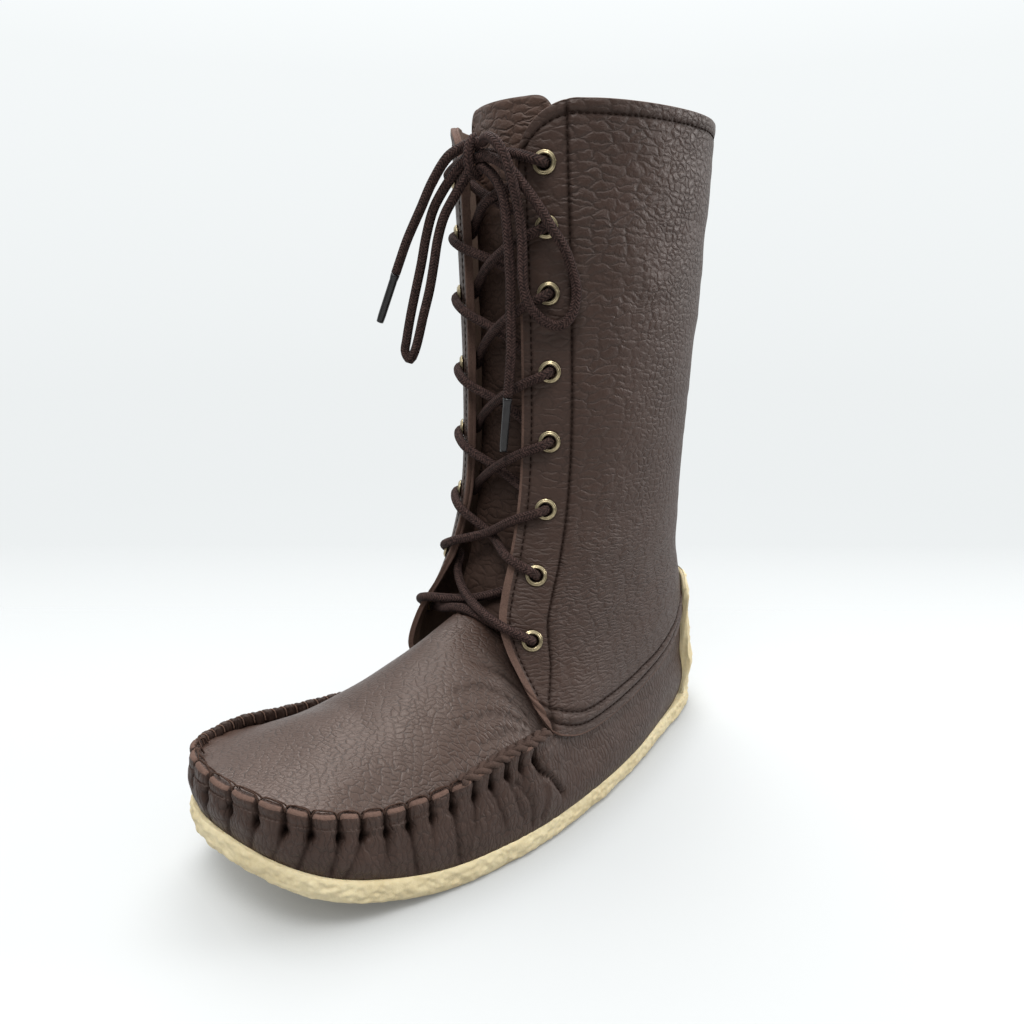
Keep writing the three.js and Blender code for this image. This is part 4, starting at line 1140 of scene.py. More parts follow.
# Stitched seams: width and depth of their grooves, and place, width and height of the swell beside them
SEAM_GROOVES = {"eyestay": (0.8, 0.75), "edge": (0.7, 0.35), "collar": (0.9, 0.6), "lap": (0.8, 0.75)}
EYESTAY_SWELL = (3.5, 2.5, 0.4)
COLLAR_SWELL = (2.2, 1.8, 0.3)
LAP_SWELL = (sum(LAP_STITCHES) / 2, 1.8, 0.5)
# Painted shade in the shaft's stitch grooves: how much darker by the groove's depth, and at most
SEAM_SHADE = {"by": 0.9, "most": 0.65}
# Slow waves of the leather: height, size, seed and where they start beside the flap's edge
SHAFT_WAVES = ((0.6, (30, 30, 17), 3, (5, 34)), (0.25, (12, 12, 5), 4, (22, 36)))
# The flap's edge curls out, most below the ankle
CURL = {"low": 2.6, "high": 1.0, "heights": (100, 140), "foot": (2, 14), "slack": 0.5}
# The rim shows two layers near the flap's edge, further in above the split
RIM_SPLIT = 150
LAYERED_ABOVE = (18, 26)
LAYERED_BELOW = (1, 5)
RAW_BAND = {"split": 115, "below": 2.7, "above": 0.9}


def shaft_shares():
    """Shares from the back to the flap edge, closer together over the eyestay."""
    back, eyestay = np.linspace(0, 0.835, 66), np.linspace(0.84, 0.9965, 46)
    return np.concatenate([back, eyestay, [0.998, 0.999, 0.9996, 0.9999, 1]])


def shaft_heights(low, high):
    """Heights of the grid's rows, close together at the seams along the lap and the collar."""
    middle = mix(low + SEAM_ROWS[-1], high - COLLAR_ROWS[0], np.linspace(0, 1, SHAFT_ROWS)[1:-1, None])
    return np.concatenate([low + np.array(SEAM_ROWS)[:, None], middle, high - np.array(COLLAR_ROWS)[:, None]])


def shaft_bounds(side, share):
    s = -skin_point(side, share, LEVELS["z"][1])[..., 1]
    reach = (1 - share) * section_length(side, COLLAR_HEIGHT)
    inside = np.maximum(0, FLAP_CORNER - reach)
    corner = FLAP_CORNER - np.sqrt(FLAP_CORNER**2 - inside**2)
    high = COLLAR_HEIGHT - COLLAR_DIP * share * share - corner
    near = np.maximum(0, CORNER_LIFT - (1 - share) * section_length(side, LEVELS["z"][1]))
    low = lookup(LAP_SEEN, "s", "z", s) + CORNER_LIFT - np.sqrt(CORNER_LIFT**2 - near**2)
    return low, high


def shaft_surface(side, share, z):
    """Outer face of the shaft with its seams pressed in."""
    low, high = shaft_bounds(side, share)
    skin = skin_point(side, share, z)
    normal = skin_normal(side, share, z)
    reach = (1 - share) * section_length(side, z)
    row = reach - lookup(EYESTAY_STITCH, "z", "reach", z)
    above, fall = z - low, high - z
    grooves = dent(row, *SEAM_GROOVES["eyestay"]) + dent(reach - EDGE_STITCH, *SEAM_GROOVES["edge"])
    grooves = grooves + dent(fall - COLLAR_STITCH, *SEAM_GROOVES["collar"])
    for place in LAP_STITCHES:
        grooves = grooves + dent(above - place, *SEAM_GROOVES["lap"])
    lift = LAP_GAP + LEATHER - grooves
    for distance, (place, *shape) in ((row, EYESTAY_SWELL), (fall, COLLAR_SWELL), (above, LAP_SWELL)):
        lift = lift + dent(distance - place, *shape)
    for by, size, seed, span in SHAFT_WAVES:
        lift = lift + by * noise(skin, size, seed) * ease(reach, *span)
    curl = np.maximum(0, 1 - reach / CURL_REACH) ** 2
    curl = curl * mix(CURL["low"], CURL["high"], ease(z, *CURL["heights"]))
    lift = lift + curl * ease(above, *CURL["foot"])
    return skin + normal * lift[..., None], skin, normal, reach, grooves


def shaft_line(side, share, z):
    """Points and normals on the shaft's face for a line of stitches."""
    face, _, normal, _, _ = shaft_surface(side, share, z)
    return face, normal


def boundary(rows, columns):
    """Indices of a grid's edge, one way round."""
    bottom = np.arange(columns)
    right = np.arange(1, rows) * columns + columns - 1
    top = (rows - 1) * columns + np.arange(columns - 2, -1, -1)
    left = np.arange(rows - 2, 0, -1) * columns
    return np.concatenate([bottom, right, top, left])


def boundary_inward(rows, columns):
    """The grid point a few steps in from each point of the edge."""
    r, c = np.divmod(boundary(rows, columns), columns)
    r = np.clip(r, RIM_STEPS_IN, rows - 1 - RIM_STEPS_IN)
    return r * columns + np.clip(c, RIM_STEPS_IN, columns - 1 - RIM_STEPS_IN)


def rim_faces(loops):
    """Quads between following closed loops of indices."""
    strips = []
    for a, b in zip(loops, loops[1:]):
        strips.append(np.stack([np.roll(a, -1), a, b, np.roll(b, -1)], -1))
    return np.vstack(strips)


def hole_walls(faces, cut, count):
    """Quads that line the holes cut through two like grids."""
    edges = {}
    for face in faces[cut]:
        for a, b in zip(face, np.roll(face, -1)):
            if (b, a) in edges:
                del edges[b, a]
            else:
                edges[a, b] = True
    return np.array([(a, b, b + count, a + count) for a, b in edges])


def shaft_layers():
    """Grids of the shaft, from the outer flap's edge round the back to the inner one's."""
    shares = shaft_shares()
    halves = []
    for side, order in ((1, shares[::-1]), (-1, shares[1:])):
        z = shaft_heights(*shaft_bounds(side, order))
        face, skin, normal, reach, grooves = shaft_surface(side, order[None, :], z)
        facing = FACING * (1 - ease(reach, EYESTAY_WIDTH - EYESTAY_FADE, EYESTAY_WIDTH + EYESTAY_FADE))
        facing = facing * ease(z, *EYESTAY_FOOT)
        curl = np.maximum(0, ((face - skin) * normal).sum(-1) - LAP_GAP - LEATHER - CURL["slack"])
        inside = skin + normal * (LAP_GAP - facing + curl)[..., None]
        halves.append((face, inside, reach, z, grooves, side * order[None, :] * section_length(side, z)))
    return [np.concatenate(parts, 1) for parts in zip(*halves)]


def in_eyelets(points):
    """Which of the points lie in the hole of an eyelet."""
    found = np.zeros(len(points), bool)
    for side in (1, -1):
        for row in range(1, len(EYELET_HEIGHTS) + 1):
            here, out = eyelet_place(side, row)
            away = points - here
            flat = away - (away @ out)[:, None] * out
            found |= (np.linalg.norm(flat, axis=1) < EYELET_HOLE) & (np.abs(away @ out) < EYELET_DEPTH)
    return found


def shaft_rim(outer, inner, edge, away, reach, z):
    """Loops of points round the shaft's cut edge, between its two faces."""
    span = np.where((z > RIM_SPLIT)[:, None], LAYERED_ABOVE, LAYERED_BELOW).T
    layered = 1 - ease(reach, *span)
    loops = []
    for share, bulge in zip(RIM_SHARES, RIM_LAYERED):
        push = mix(RIM_SINGLE * math.sin(math.pi * share) ** 0.5, bulge, layered)
        loops.append(mix(outer[edge], inner[edge], share) + away * push[:, None])
    return loops


def add_shaft():
    outer, inner, reach, z, pressed, arc = shaft_layers()
    rows, columns = outer.shape[:2]
    count = rows * columns
    edge = boundary(rows, columns)
    outer, inner = outer.reshape(-1, 3), inner.reshape(-1, 3)
    reach, z = reach.ravel(), z.ravel()
    away = unit(outer[edge] - outer[boundary_inward(rows, columns)])
    rim = shaft_rim(outer, inner, edge, away, reach[edge], z[edge])
    faces = grid_faces(rows, columns)
    cut = in_eyelets(outer[faces].mean(1))
    lining = hole_walls(faces, cut, count)
    kept = faces[~cut]
    band = np.where(z[faces].mean(1) < RAW_BAND["split"], RAW_BAND["below"], RAW_BAND["above"])
    raw = (np.arange(len(faces)) < columns - 1) | (reach[faces].mean(1) < band)
    kinds = np.where(raw, 2, 0)[~cut]
    ring = np.arange(len(edge))
    strips = rim_faces([edge, *[2 * count + k * len(edge) + ring for k in range(len(rim))], edge + count])
    all_faces = np.vstack([kept, kept[:, ::-1] + count, strips, lining])
    all_kinds = np.concatenate([kinds, np.ones(len(kept)), np.full(len(strips) + len(lining), 2)])
    rest = np.zeros(count + len(edge) * len(rim))
    eyestay = EYESTAY_SMOOTH["by"] * (1 - ease(reach, *EYESTAY_SMOOTH["reach"]))
    calm = np.concatenate([np.maximum(eyestay, lookup(SHAFT_SMOOTH, "z", "calm", z)), rest])
    # Painted shade along the pressed stitch grooves
    shade = np.concatenate([np.clip(SEAM_SHADE["by"] * pressed, 0, SEAM_SHADE["most"]).ravel(), rest])
    verts = np.vstack([outer, inner, *rim])
    flat_uv = np.stack([arc.ravel(), z], -1)
    uv = loop_uv(all_faces, np.vstack([flat_uv, flat_uv, *[flat_uv[edge]] * len(rim)]))
    looks = [SHAFT_LEATHER, FLESH, RAW_EDGE]
    shaft = make("leather_shaft", verts, all_faces, looks, all_kinds, uv, calm=calm, shade=shade)
    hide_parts("shaft")


add_shaft()


# Moccasin wall with its puckered ridge

FINE_STEP = 0.62
COARSE_STEP = 2.6
FINE_REACH = 165
WALL_ROWS = 44
WALL_SPAN = 30
INNER_EVERY = 4
PIT_BELOW = 4.2
TAB_TOP = 4.2
FOOT_SUNK = 0.6
RIPPLE = {"by": 0.65, "size": (4.5, 26, 1), "seed": 8, "level": 0.5, "at": -110, "reach": 95}
WALL_WAVE = {"by": 0.45, "size": (13, 13, 17), "seed": 7, "start": (0.05, 0.3)}
SEAM_SWELL = {"tab": 1.0, "all": 1.5, "fall": 11}
FOOT_FADE = 0.12
# Painted shade in the wall's pits, creases and folds: how much darker, at most, and how narrow for the
# gathers and the folds
HOLLOW_SHADE = {"by": 0.55, "most": 0.92, "gather": 0.55, "fold": 0.6}
RIDGE_PROFILE = table(
    "out up rim_out rim_up",
    (1.5, -1.2, 0, -1.2), (1.9, 0.6, 0, -0.6), (2.0, 2.2, 0, -0.2), (1.75, 3.5, -0.2, 0.2),
    (1.2, TAB_TOP, -0.5, 0.4), (0.2, TAB_TOP + 0.1, -0.8, 0.45), (-0.9, TAB_TOP - 0.1, -1.1, 0.45),
    (-1.35, 3.4, -1.4, 0.4), (-1.6, 1.8, -1.7, 0.2), (-1.7, 0.2, -1.9, -0.2),
)
RAW_ROWS = (3, 5)
ROPED = (12, 40)
RIDGE_OVERLAP = 4
RIDGE_ROW_UV = 1.2
RAW_LIMITS = {"gap": 0.3, "roped": 0.6}
WHIP_SPAN = 5.5
WHIP_LEAN = 0.05
# The ridge: how the tabs, their gaps, their skew and the whipping thread shape it, and the painted shade in
# its gaps and under the whipping thread
TAB_SHAPE = {"roped": 0.8, "inner_gap": 0.5, "lean": 0.6, "stand": 0.5}
GAP_DROP = {"tabs": 2.2, "roped": 0.3}
WHIP_PRESS = {"in": 0.5, "down": 0.4}
RIDGE_SHADE = {"gap": 0.9, "roped_gap": 0.85, "bound": 0.6, "roped": 0.25}
TAB_SKEW = np.random.default_rng(31).uniform(-1, 1, (40, 3))
MEDIAL_RIDGE = {"by": 3.0, "from": (35, 70), "to": (132, 158), "over": (-1.5, 2)}

# Puckers where the thread gathers the wall: place round the toe from its tip (outer side negative),
# depth, reach of the crease down the wall, and its slant over the wall's height.
PUCKERS = table(
    "place depth reach slant",
    (-151, 2.4, 16, -14), (-143, 1.8, 14, -4), (-135.5, 2.2, 26, -9), (-127.5, 2.0, 24, -8),
    (-119.4, 2.0, 14, 5), (-109.1, 2.5, 34, -2), (-100, 2.0, 14, 4), (-90.4, 2.5, 34, -3),
    (-81.4, 2.1, 13, 2), (-72.6, 2.6, 30, 15), (-63.7, 2.4, 26, 9), (-53, 2.3, 26, 12),
    (-43.2, 2.4, 32, 13), (-31.9, 2.3, 20, 9), (-19.5, 2.3, 24, 5), (-6.6, 2.2, 20, 2),
    (6.7, 2.2, 18, -2), (19, 2.3, 26, 4), (31, 2.2, 16, -4), (43, 2.4, 30, -9),
    (54, 2.2, 14, 3), (65, 2.4, 28, -8), (76, 2.2, 14, 2), (87, 2.5, 32, 5), (98, 2.1, 15, -3),
    (109, 2.4, 30, 4), (120, 2.2, 14, -5), (131, 2.3, 26, 6), (142, 2.0, 18, 3), (152, 1.8, 14, 8),
)
PUCKER_AT = TOE_AT + PUCKERS["place"]

# Folds of the wall behind the last pucker: their lines as places round the toe and heights.
FOLDS = (
    {"line": ((-147, 46), (-153, 36), (-160.5, 26.5), (-165, 20), (-167, 12)), "depth": 2.4, "width": 1.0},
    {"line": ((-176, 39), (-184, 33), (-193, 24), (-199, 16)), "depth": 1.3, "width": 1.7},
    {"line": ((-152, 36), (-154, 25), (-152, 14)), "depth": 0.9, "width": 1.6},
    {"line": ((-166, 30), (-172, 21), (-174, 13)), "depth": 0.7, "width": 1.8},
    {"line": ((-140, 35), (-146, 24), (-147, 13)), "depth": 1.0, "width": 1.7},
    {"line": ((158, 42), (165, 28), (168, 15)), "depth": 1.8, "width": 2.2},
    {"line": ((150, 32), (147, 18)), "depth": 0.8, "width": 1.8},
)
SWELLS = table(
    "place z wide tall out",
    (-170, 33, 9, 9, 2.0), (-155, 24, 4.5, 9, 0.9), (-146, 30, 4, 8, 0.8), (172, 31, 9, 8, 1.2),
    (-100, 24, 7, 8, 0.7), (-68, 27, 6, 7, 0.6), (-36, 33, 7, 7, 0.6), (60, 26, 8, 8, 0.6),
    (100, 24, 8, 8, 0.6),
)
FOLD_STEPS = 24
# A fold's rim beside it, as shares of the fold's depth and width
FOLD_RIM = {"height": 0.12, "place": 3, "width": 2}
# Gathers: pits under the seam, and creases that widen and fade down the wall
PIT = {"least": 0.75, "width": 1.7, "depth": 1.4}
CREASE_WIDTH = {"top": 0.8, "pit": 1.2, "rise": -4, "spread": 0.02}
CREASE_FADE = {"to": 0.6, "over": 7, "ends": (0.45, 1.15)}
CREASE_SIDES = {"sharp": 0.7, "soft": 0.3, "wider": 3}
SLIT_WIDTH = 0.95


def gathers(at, below, narrow=1):
    """How far the gathered seam presses the wall in, at a distance below the seam line."""
    press = np.zeros(np.broadcast(at, below).shape)
    deep = np.maximum(below - PIT_BELOW, 0)
    slim, wide = CREASE_WIDTH["top"], CREASE_WIDTH["pit"]
    width = mix(slim, wide, ease(below, CREASE_WIDTH["rise"], PIT_BELOW)) + CREASE_WIDTH["spread"] * deep
    width = width * narrow
    pit = PIT["least"] + dent(below - PIT_BELOW, PIT["width"], PIT["depth"])
    pit = pit * mix(1, CREASE_FADE["to"], ease(deep, 0, CREASE_FADE["over"]))
    for place, depth, reach, slant in zip(PUCKER_AT, PUCKERS["depth"], PUCKERS["reach"], PUCKERS["slant"]):
        away = at - place - slant * deep / WALL_SPAN
        start, end = np.array(CREASE_FADE["ends"]) * reach
        crease = dent(away, width, CREASE_SIDES["sharp"])
        crease = crease + dent(away, CREASE_SIDES["wider"] * width, CREASE_SIDES["soft"])
        press = press + depth * pit * (1 - ease(deep, start, end)) * crease
    return press


def slit(at):
    """1 in the gaps between the tabs of the ridge."""
    return np.max([dent(at - place, SLIT_WIDTH) for place in PUCKER_AT], axis=0)


def tab_place(at):
    """Which tab of the ridge a place is on, and its share of the way along it."""
    order = np.sort(PUCKER_AT)
    i = np.clip(np.searchsorted(order, at) - 1, 0, len(order) - 2)
    return i, np.clip((at - order[i]) / (order[i + 1] - order[i]), 0, 1)


def pillow(at):
    """0 in the gaps of the ridge, 1 in the middle of each tab."""
    _, t = tab_place(at)
    return np.sqrt(4 * t * (1 - t))


def tab_skew(at):
    """How far each tab of the ridge leans out, stands up and tilts along the seam."""
    tab, t = tab_place(at)
    own = TAB_SKEW[tab] * pillow(at)[:, None]
    own[:, 2] *= 2 * t - 1
    return own


def fold_depth(at, z, narrow=1):
    """How far the folds press the wall in, less its swells."""
    points = np.stack(np.broadcast_arrays(at - TOE_AT, z), -1)
    total = np.zeros(points.shape[:-1])
    for fold in FOLDS:
        depth, width = fold["depth"], fold["width"]
        away = nearest(points, spline(fold["line"], FOLD_STEPS))
        total = total + dent(away, narrow * width, depth)
        rim = dent(away - FOLD_RIM["place"] * width, FOLD_RIM["width"] * width)
        total = total - FOLD_RIM["height"] * depth * rim
    for place, height, wide, tall, out in zip(*SWELLS.values()):
        away = np.linalg.norm((points - (place, height)) / (wide, tall), axis=-1)
        total = total - dent(away, 1, out)
    return total


def wall_places():
    """Places round the outline for the columns: close together where the seam is gathered."""
    low, high = TOE_AT - FINE_REACH, TOE_AT + FINE_REACH
    fine = np.linspace(low, high, int(2 * FINE_REACH / FINE_STEP))
    rest = RING_TOTAL - 2 * FINE_REACH
    coarse = np.linspace(high, high + rest, int(rest / COARSE_STEP))[1:-1]
    return np.concatenate([fine, coarse])


def ridge_point(at, out, up):
    """Point beside the seam line: outward and upward from it."""
    base = wall_point(at, np.ones_like(at))
    base[..., :2] += ring_out(at) * np.asarray(out)[..., None]
    higher = ease(at - TOE_AT, *MEDIAL_RIDGE["from"]) - ease(at - TOE_AT, *MEDIAL_RIDGE["to"])
    base[..., 2] += up + MEDIAL_RIDGE["by"] * higher * ease(up, *MEDIAL_RIDGE["over"])
    return base


def wall_lift(at, u, base, below, fade):
    """How far the leather of the wall stands out from its plain face."""
    wave = WALL_WAVE["by"] * noise(base, WALL_WAVE["size"], WALL_WAVE["seed"])
    lift = wave * ease(u, *WALL_WAVE["start"])
    flat = np.stack([at + 0 * below, below, 0 * below], -1)
    ripple = (1 - np.abs(noise(flat, RIPPLE["size"], RIPPLE["seed"]))) ** 2 - RIPPLE["level"]
    lift = lift + RIPPLE["by"] * ripple * ease(np.abs(at - TOE_AT - RIPPLE["at"]), RIPPLE["reach"], 0)
    lift = lift - gathers(at, below) * fade - fold_depth(at, base[..., 2])
    swell = SEAM_SWELL["tab"] * pillow(at) * fade + SEAM_SWELL["all"] * fade
    lift = lift + swell * (1 - ease(below, 0, SEAM_SWELL["fall"]))
    return lift * ease(u, 0, FOOT_FADE)


def wall_ridge(at, fade, gap, roped):
    """Rows of points over the ridge, and their painted shade."""
    tabs = pillow(at) * fade
    lean, stand, tilt = tab_skew(at).T * (1 - roped)
    ridge, shades = [], []
    for j, (out, up, rim_out, rim_up) in enumerate(zip(*RIDGE_PROFILE.values())):
        outer_side = ease(out, -1, 1)
        top_share = ease(up, 0.5, TAB_TOP)
        turn = 2 * np.pi * ((at - TOE_AT) / WHIP_SPAN - WHIP_LEAN * j)
        bound = roped * (0.5 + 0.5 * np.cos(turn)) ** 3
        pressed = tabs - gathers(at, -up + 0 * at)
        push = out + outer_side * pressed * (1 - TAB_SHAPE["roped"] * roped * top_share)
        push = push + (1 - outer_side) * TAB_SHAPE["inner_gap"] * gap
        push = push + TAB_SHAPE["lean"] * lean * ease(up, 0, TAB_TOP)
        push = push - WHIP_PRESS["in"] * (2 * outer_side - 1) * bound
        drop = mix(GAP_DROP["tabs"], GAP_DROP["roped"], roped) * gap + WHIP_PRESS["down"] * bound
        rise = up - drop * top_share + TAB_SHAPE["stand"] * (stand + tilt) * ease(up, 1, TAB_TOP)
        ridge.append(ridge_point(at, mix(rim_out, push, fade), mix(rim_up, rise, fade)))
        # Painted shade in the gaps between the tabs and under the whipping thread; the roped part is painted
        # darker as well
        dark = RIDGE_SHADE["gap"] * gap * (1 - RIDGE_SHADE["roped_gap"] * roped)
        shades.append((dark + RIDGE_SHADE["bound"] * bound + RIDGE_SHADE["roped"] * roped) * fade)
    return np.array(ridge), np.array(shades)


def add_wall():
    at = wall_places()
    columns = len(at)
    u = np.linspace(0, 1, WALL_ROWS)[:, None]
    base = wall_point(at, u)
    fade = ease(-ring_point(at)[:, 1], *RIDGE_FADE)
    ringed = np.concatenate([base[:, -1:], base, base[:, :1]], 1)
    normals = -grid_normals(ringed)[:, 1:-1]
    below = (1 - u) * np.linalg.norm(base[-1] - base[0], axis=-1)
    face = base + normals * wall_lift(at, u, base, below, fade)[..., None]
    gap = slit(at)
    roped = ease(at - TOE_AT, *ROPED)
    ridge, ridge_shade = wall_ridge(at, fade, gap, roped)
    cut = WALL_ROWS - RIDGE_OVERLAP
    outer = np.concatenate([face[:cut], ridge], 0)
    inner = (face - normals * LEATHER)[::-1][::INNER_EVERY][::-1]
    outer[0, :, 2] -= FOOT_SUNK
    inner[0, :, 2] = outer[0, :, 2]
    rows = len(outer)
    count = rows * columns
    faces = grid_faces(rows, columns, closed=True)[:, ::-1]
    back = grid_faces(len(inner), columns, start=count, closed=True)
    k = np.arange(columns)
    top = rim_faces([k + (rows - 1) * columns, k + count + (len(inner) - 1) * columns])
    foot = rim_faces([k, k + count])[:, ::-1]
    row_of, column_of = np.divmod(np.arange(len(faces)), columns)
    raw = (row_of >= cut + RAW_ROWS[0]) & (row_of < cut + RAW_ROWS[1])
    raw = raw & (gap[column_of] < RAW_LIMITS["gap"]) & (roped[column_of] < RAW_LIMITS["roped"])
    kinds = np.concatenate([np.where(raw, 2, 0), np.ones(len(back) + len(top) + len(foot))])
    verts = np.vstack([outer.reshape(-1, 3), inner.reshape(-1, 3)])
    # Painted shade in the pits and creases of the gathers and in the folds
    hollow = gathers(at, below, HOLLOW_SHADE["gather"]) * fade
    hollow = hollow + fold_depth(at, base[..., 2], HOLLOW_SHADE["fold"])
    shade = np.zeros(len(verts))
    shade[:count] = np.concatenate([HOLLOW_SHADE["by"] * hollow[:cut], ridge_shade]).ravel()
    shade = np.clip(shade, 0, HOLLOW_SHADE["most"])
    all_faces = np.vstack([faces, back, top, foot])
    ridge_climb = np.arange(rows - cut)[:, None] * RIDGE_ROW_UV + below[0] - below[cut]
    climb = np.concatenate([below[0] - below[:cut], ridge_climb])
    flat_uv = np.stack([np.broadcast_to(at, climb.shape).ravel(), climb.ravel()], -1)
    inner_uv = np.stack([np.tile(at, len(inner)), inner[..., 2].ravel()], -1)
    uv = loop_uv(all_faces, np.vstack([flat_uv, inner_uv]), RING_TOTAL)
    wall = make("moccasin_wall", verts, all_faces, [WALL_LEATHER, FLESH, RAW_EDGE], kinds, uv, shade=shade)
    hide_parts("upper")


add_wall()


# Plug

PLUG_STEP = 1.5
PLUG_RIB_PARTS = 8
PLUG_ROWS = 40
PLUG_SEAM_ROWS = (0.02, 0.03, 0.045, 0.06)
PLUG_START = 0.08
# The plug swells at the tabs beside the seam, and waves a little beyond
PLUG_SWELL = {"by": 0.9, "sunk": 0.2, "from": (0.02, 0.16)}
PLUG_WAVE = {"by": 0.35, "size": (16, 12, 12), "seed": 9, "from": (0.1, 0.3)}
CREASE_TAPER = 0.35
CREASE_STEPS = 30
# Painted shade in the plug's creases: how much darker, how narrow, and at most
CREASE_SHADE = {"by": 0.8, "narrow": 0.6, "most": 0.9}
WELD = 2e-6
PLUG_GRAIN = np.array([[0.68, -0.73], [0.73, 0.68]])
# Painted shadow cast by the flaps on the plug: how dark, how far it reaches, and the heights of the flaps'
# edges
FLAP_SHADE = {"by": 0.85, "reach": 7.5, "heights": (44, 100)}

# Creases that fan out from the flaps' lower ends: points by x and distance from the heel.
PLUG_CREASES = (
    {"line": ((50, 164), (44, 172), (40, 183), (38, 196)), "depth": 0.7, "width": 1.2},
    {"line": ((50, 167), (47, 177), (46, 190)), "depth": 0.6, "width": 1.1},
    {"line": ((47, 162), (38, 170), (32, 179), (29, 190)), "depth": 0.7, "width": 1.3},
    {"line": ((40, 160), (31, 167), (24, 176)), "depth": 0.5, "width": 1.2},
    {"line": ((-30, 164), (-27, 174), (-27, 188)), "depth": 0.5, "width": 1.3},
)


def weld(obj):
    """Joins points of a mesh that lie in one place."""
    made = bmesh.new()
    made.from_mesh(obj.data)
    bmesh.ops.remove_doubles(made, verts=made.verts, dist=WELD)
    bmesh.ops.dissolve_degenerate(made, edges=made.edges, dist=WELD)
    made.to_mesh(obj.data)
    made.free()
    obj.data.polygons.foreach_set("use_smooth", np.ones(len(obj.data.polygons), bool))


def thicken(obj):
    """Gives a sheet the leather's thickness, with its second material inside and its third on the rim."""
    wall = obj.modifiers.new("wall", "SOLIDIFY")
    wall.thickness = LEATHER / 1000
    wall.offset = -1
    wall.material_offset = 1
    wall.material_offset_rim = 2


def beside_flaps(points):
    """1 on the flaps' front edges, fading to 0 away from them: the reach of the painted shadow the flaps cast
    on the plug.
    """
    z = np.linspace(*FLAP_SHADE["heights"], 60)
    edges = np.vstack([shaft_line(side, np.ones_like(z), z)[0] for side in (1, -1)])
    return dent(nearest(points, edges), FLAP_SHADE["reach"])


def plug_creases(points, narrow=1):
    """How deep the plug is creased, with creases that thin out at their ends."""
    total = np.zeros(points.shape[:-1])
    for crease in PLUG_CREASES:
        line = spline(crease["line"], CREASE_STEPS) * (1, -1)
        middle = np.sin(np.pi * (np.arange(len(line)) + 0.5) / len(line))
        away = nearest(points[..., :2], line, mix(CREASE_TAPER, 1, middle))
        total = total + dent(away, narrow * crease["width"], crease["depth"])
    return total


def plug_columns():
    """Places round the outline whose ribs meet in pairs along the spine, and in one point ahead of it."""
    steps = np.linspace(0, SPINE_STEPS[-1], SPINE_STEPS[-1] * PLUG_RIB_PARTS + 1)
    outer, inner = (np.interp(steps, SPINE_STEPS, rib_lengths(side)) for side in (1, -1))
    inner = RING_TOTAL - inner[::-1]
    ahead = np.linspace(outer[-1], inner[0], int((inner[0] - outer[-1]) / PLUG_STEP))
    return np.concatenate([outer, ahead[1:-1], inner])


def add_plug():
    at = plug_columns()
    u = np.concatenate([PLUG_SEAM_ROWS, np.linspace(PLUG_START, 1, PLUG_ROWS)])[:, None]
    base = plug_point(at, u)
    normals = -grid_normals(base)
    fade = ease(-ring_point(at)[:, 1], *RIDGE_FADE)
    near = 1 - ease(u, *PLUG_SWELL["from"])
    lift = near * fade * (PLUG_SWELL["by"] * pillow(at) - PLUG_SWELL["sunk"])
    wave = PLUG_WAVE["by"] * noise(base, PLUG_WAVE["size"], PLUG_WAVE["seed"])
    lift = lift + wave * ease(u, *PLUG_WAVE["from"]) - plug_creases(base)
    face = base + normals * lift[..., None]
    face[-1] = base[-1] + lift[-1][:, None] * np.array([0, 0, 1])
    faces = grid_faces(*face.shape[:2])[:, ::-1]
    uv = loop_uv(faces, face.reshape(-1, 3)[:, :2] @ PLUG_GRAIN)
    # Painted shade on the plug: a shadow beside the flaps' edges and shade in its creases
    creased = CREASE_SHADE["by"] * plug_creases(base, CREASE_SHADE["narrow"])
    shade = np.clip(FLAP_SHADE["by"] * beside_flaps(base) + creased, 0, CREASE_SHADE["most"])
    looks = [PLUG_LEATHER, FLESH, RAW_EDGE]
    plug = make("moccasin_plug", face.reshape(-1, 3), faces, looks, uv=uv, shade=shade.ravel())
    weld(plug)
    thicken(plug)
    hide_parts("upper")


add_plug()


# Tongue

TONGUE_COLUMNS = 61
TONGUE_ROWS = 150
TONGUE_ROOT_ROWS = 14
TONGUE_START = 97
TONGUE_TOP = COLLAR_HEIGHT + TONGUE_RISE
TONGUE_LEAN_FROM = 150
CORNER_FALL = 40
CORNER_POWER = 10
TONGUE_WAVE = {"by": 0.4, "size": (22, 22, 12), "seed": 12}
LACE_DENT = {"depth": 1.8, "tall": 6.5, "wide": 0.6}
TONGUE_STITCH = {"below": 4.5, "width": 0.8, "depth": 0.35}
# Painted shade over the lower tongue, fading out towards its top
TONGUE_SHADE = {"by": 0.6, "heights": (225, 285)}


def plug_height(xs, s):
    """Height of the plug on a line straight across the foot."""
    spine_x, crest = lookup(CREST, "s", "x", s), lookup(CREST, "s", "z", s)
    heights = np.empty_like(xs)
    for side in (1, -1):
        edge = wall_point(ring_at(side, s), 1.0)
        here = (xs - edge[0]) / (spine_x - edge[0])
        value = hermite(edge[2], crest, PLUG_SHOULDER[side] * (crest - edge[2]), 0, here)
        heights = np.where((xs >= spine_x) == (side > 0), value, heights)
    return heights


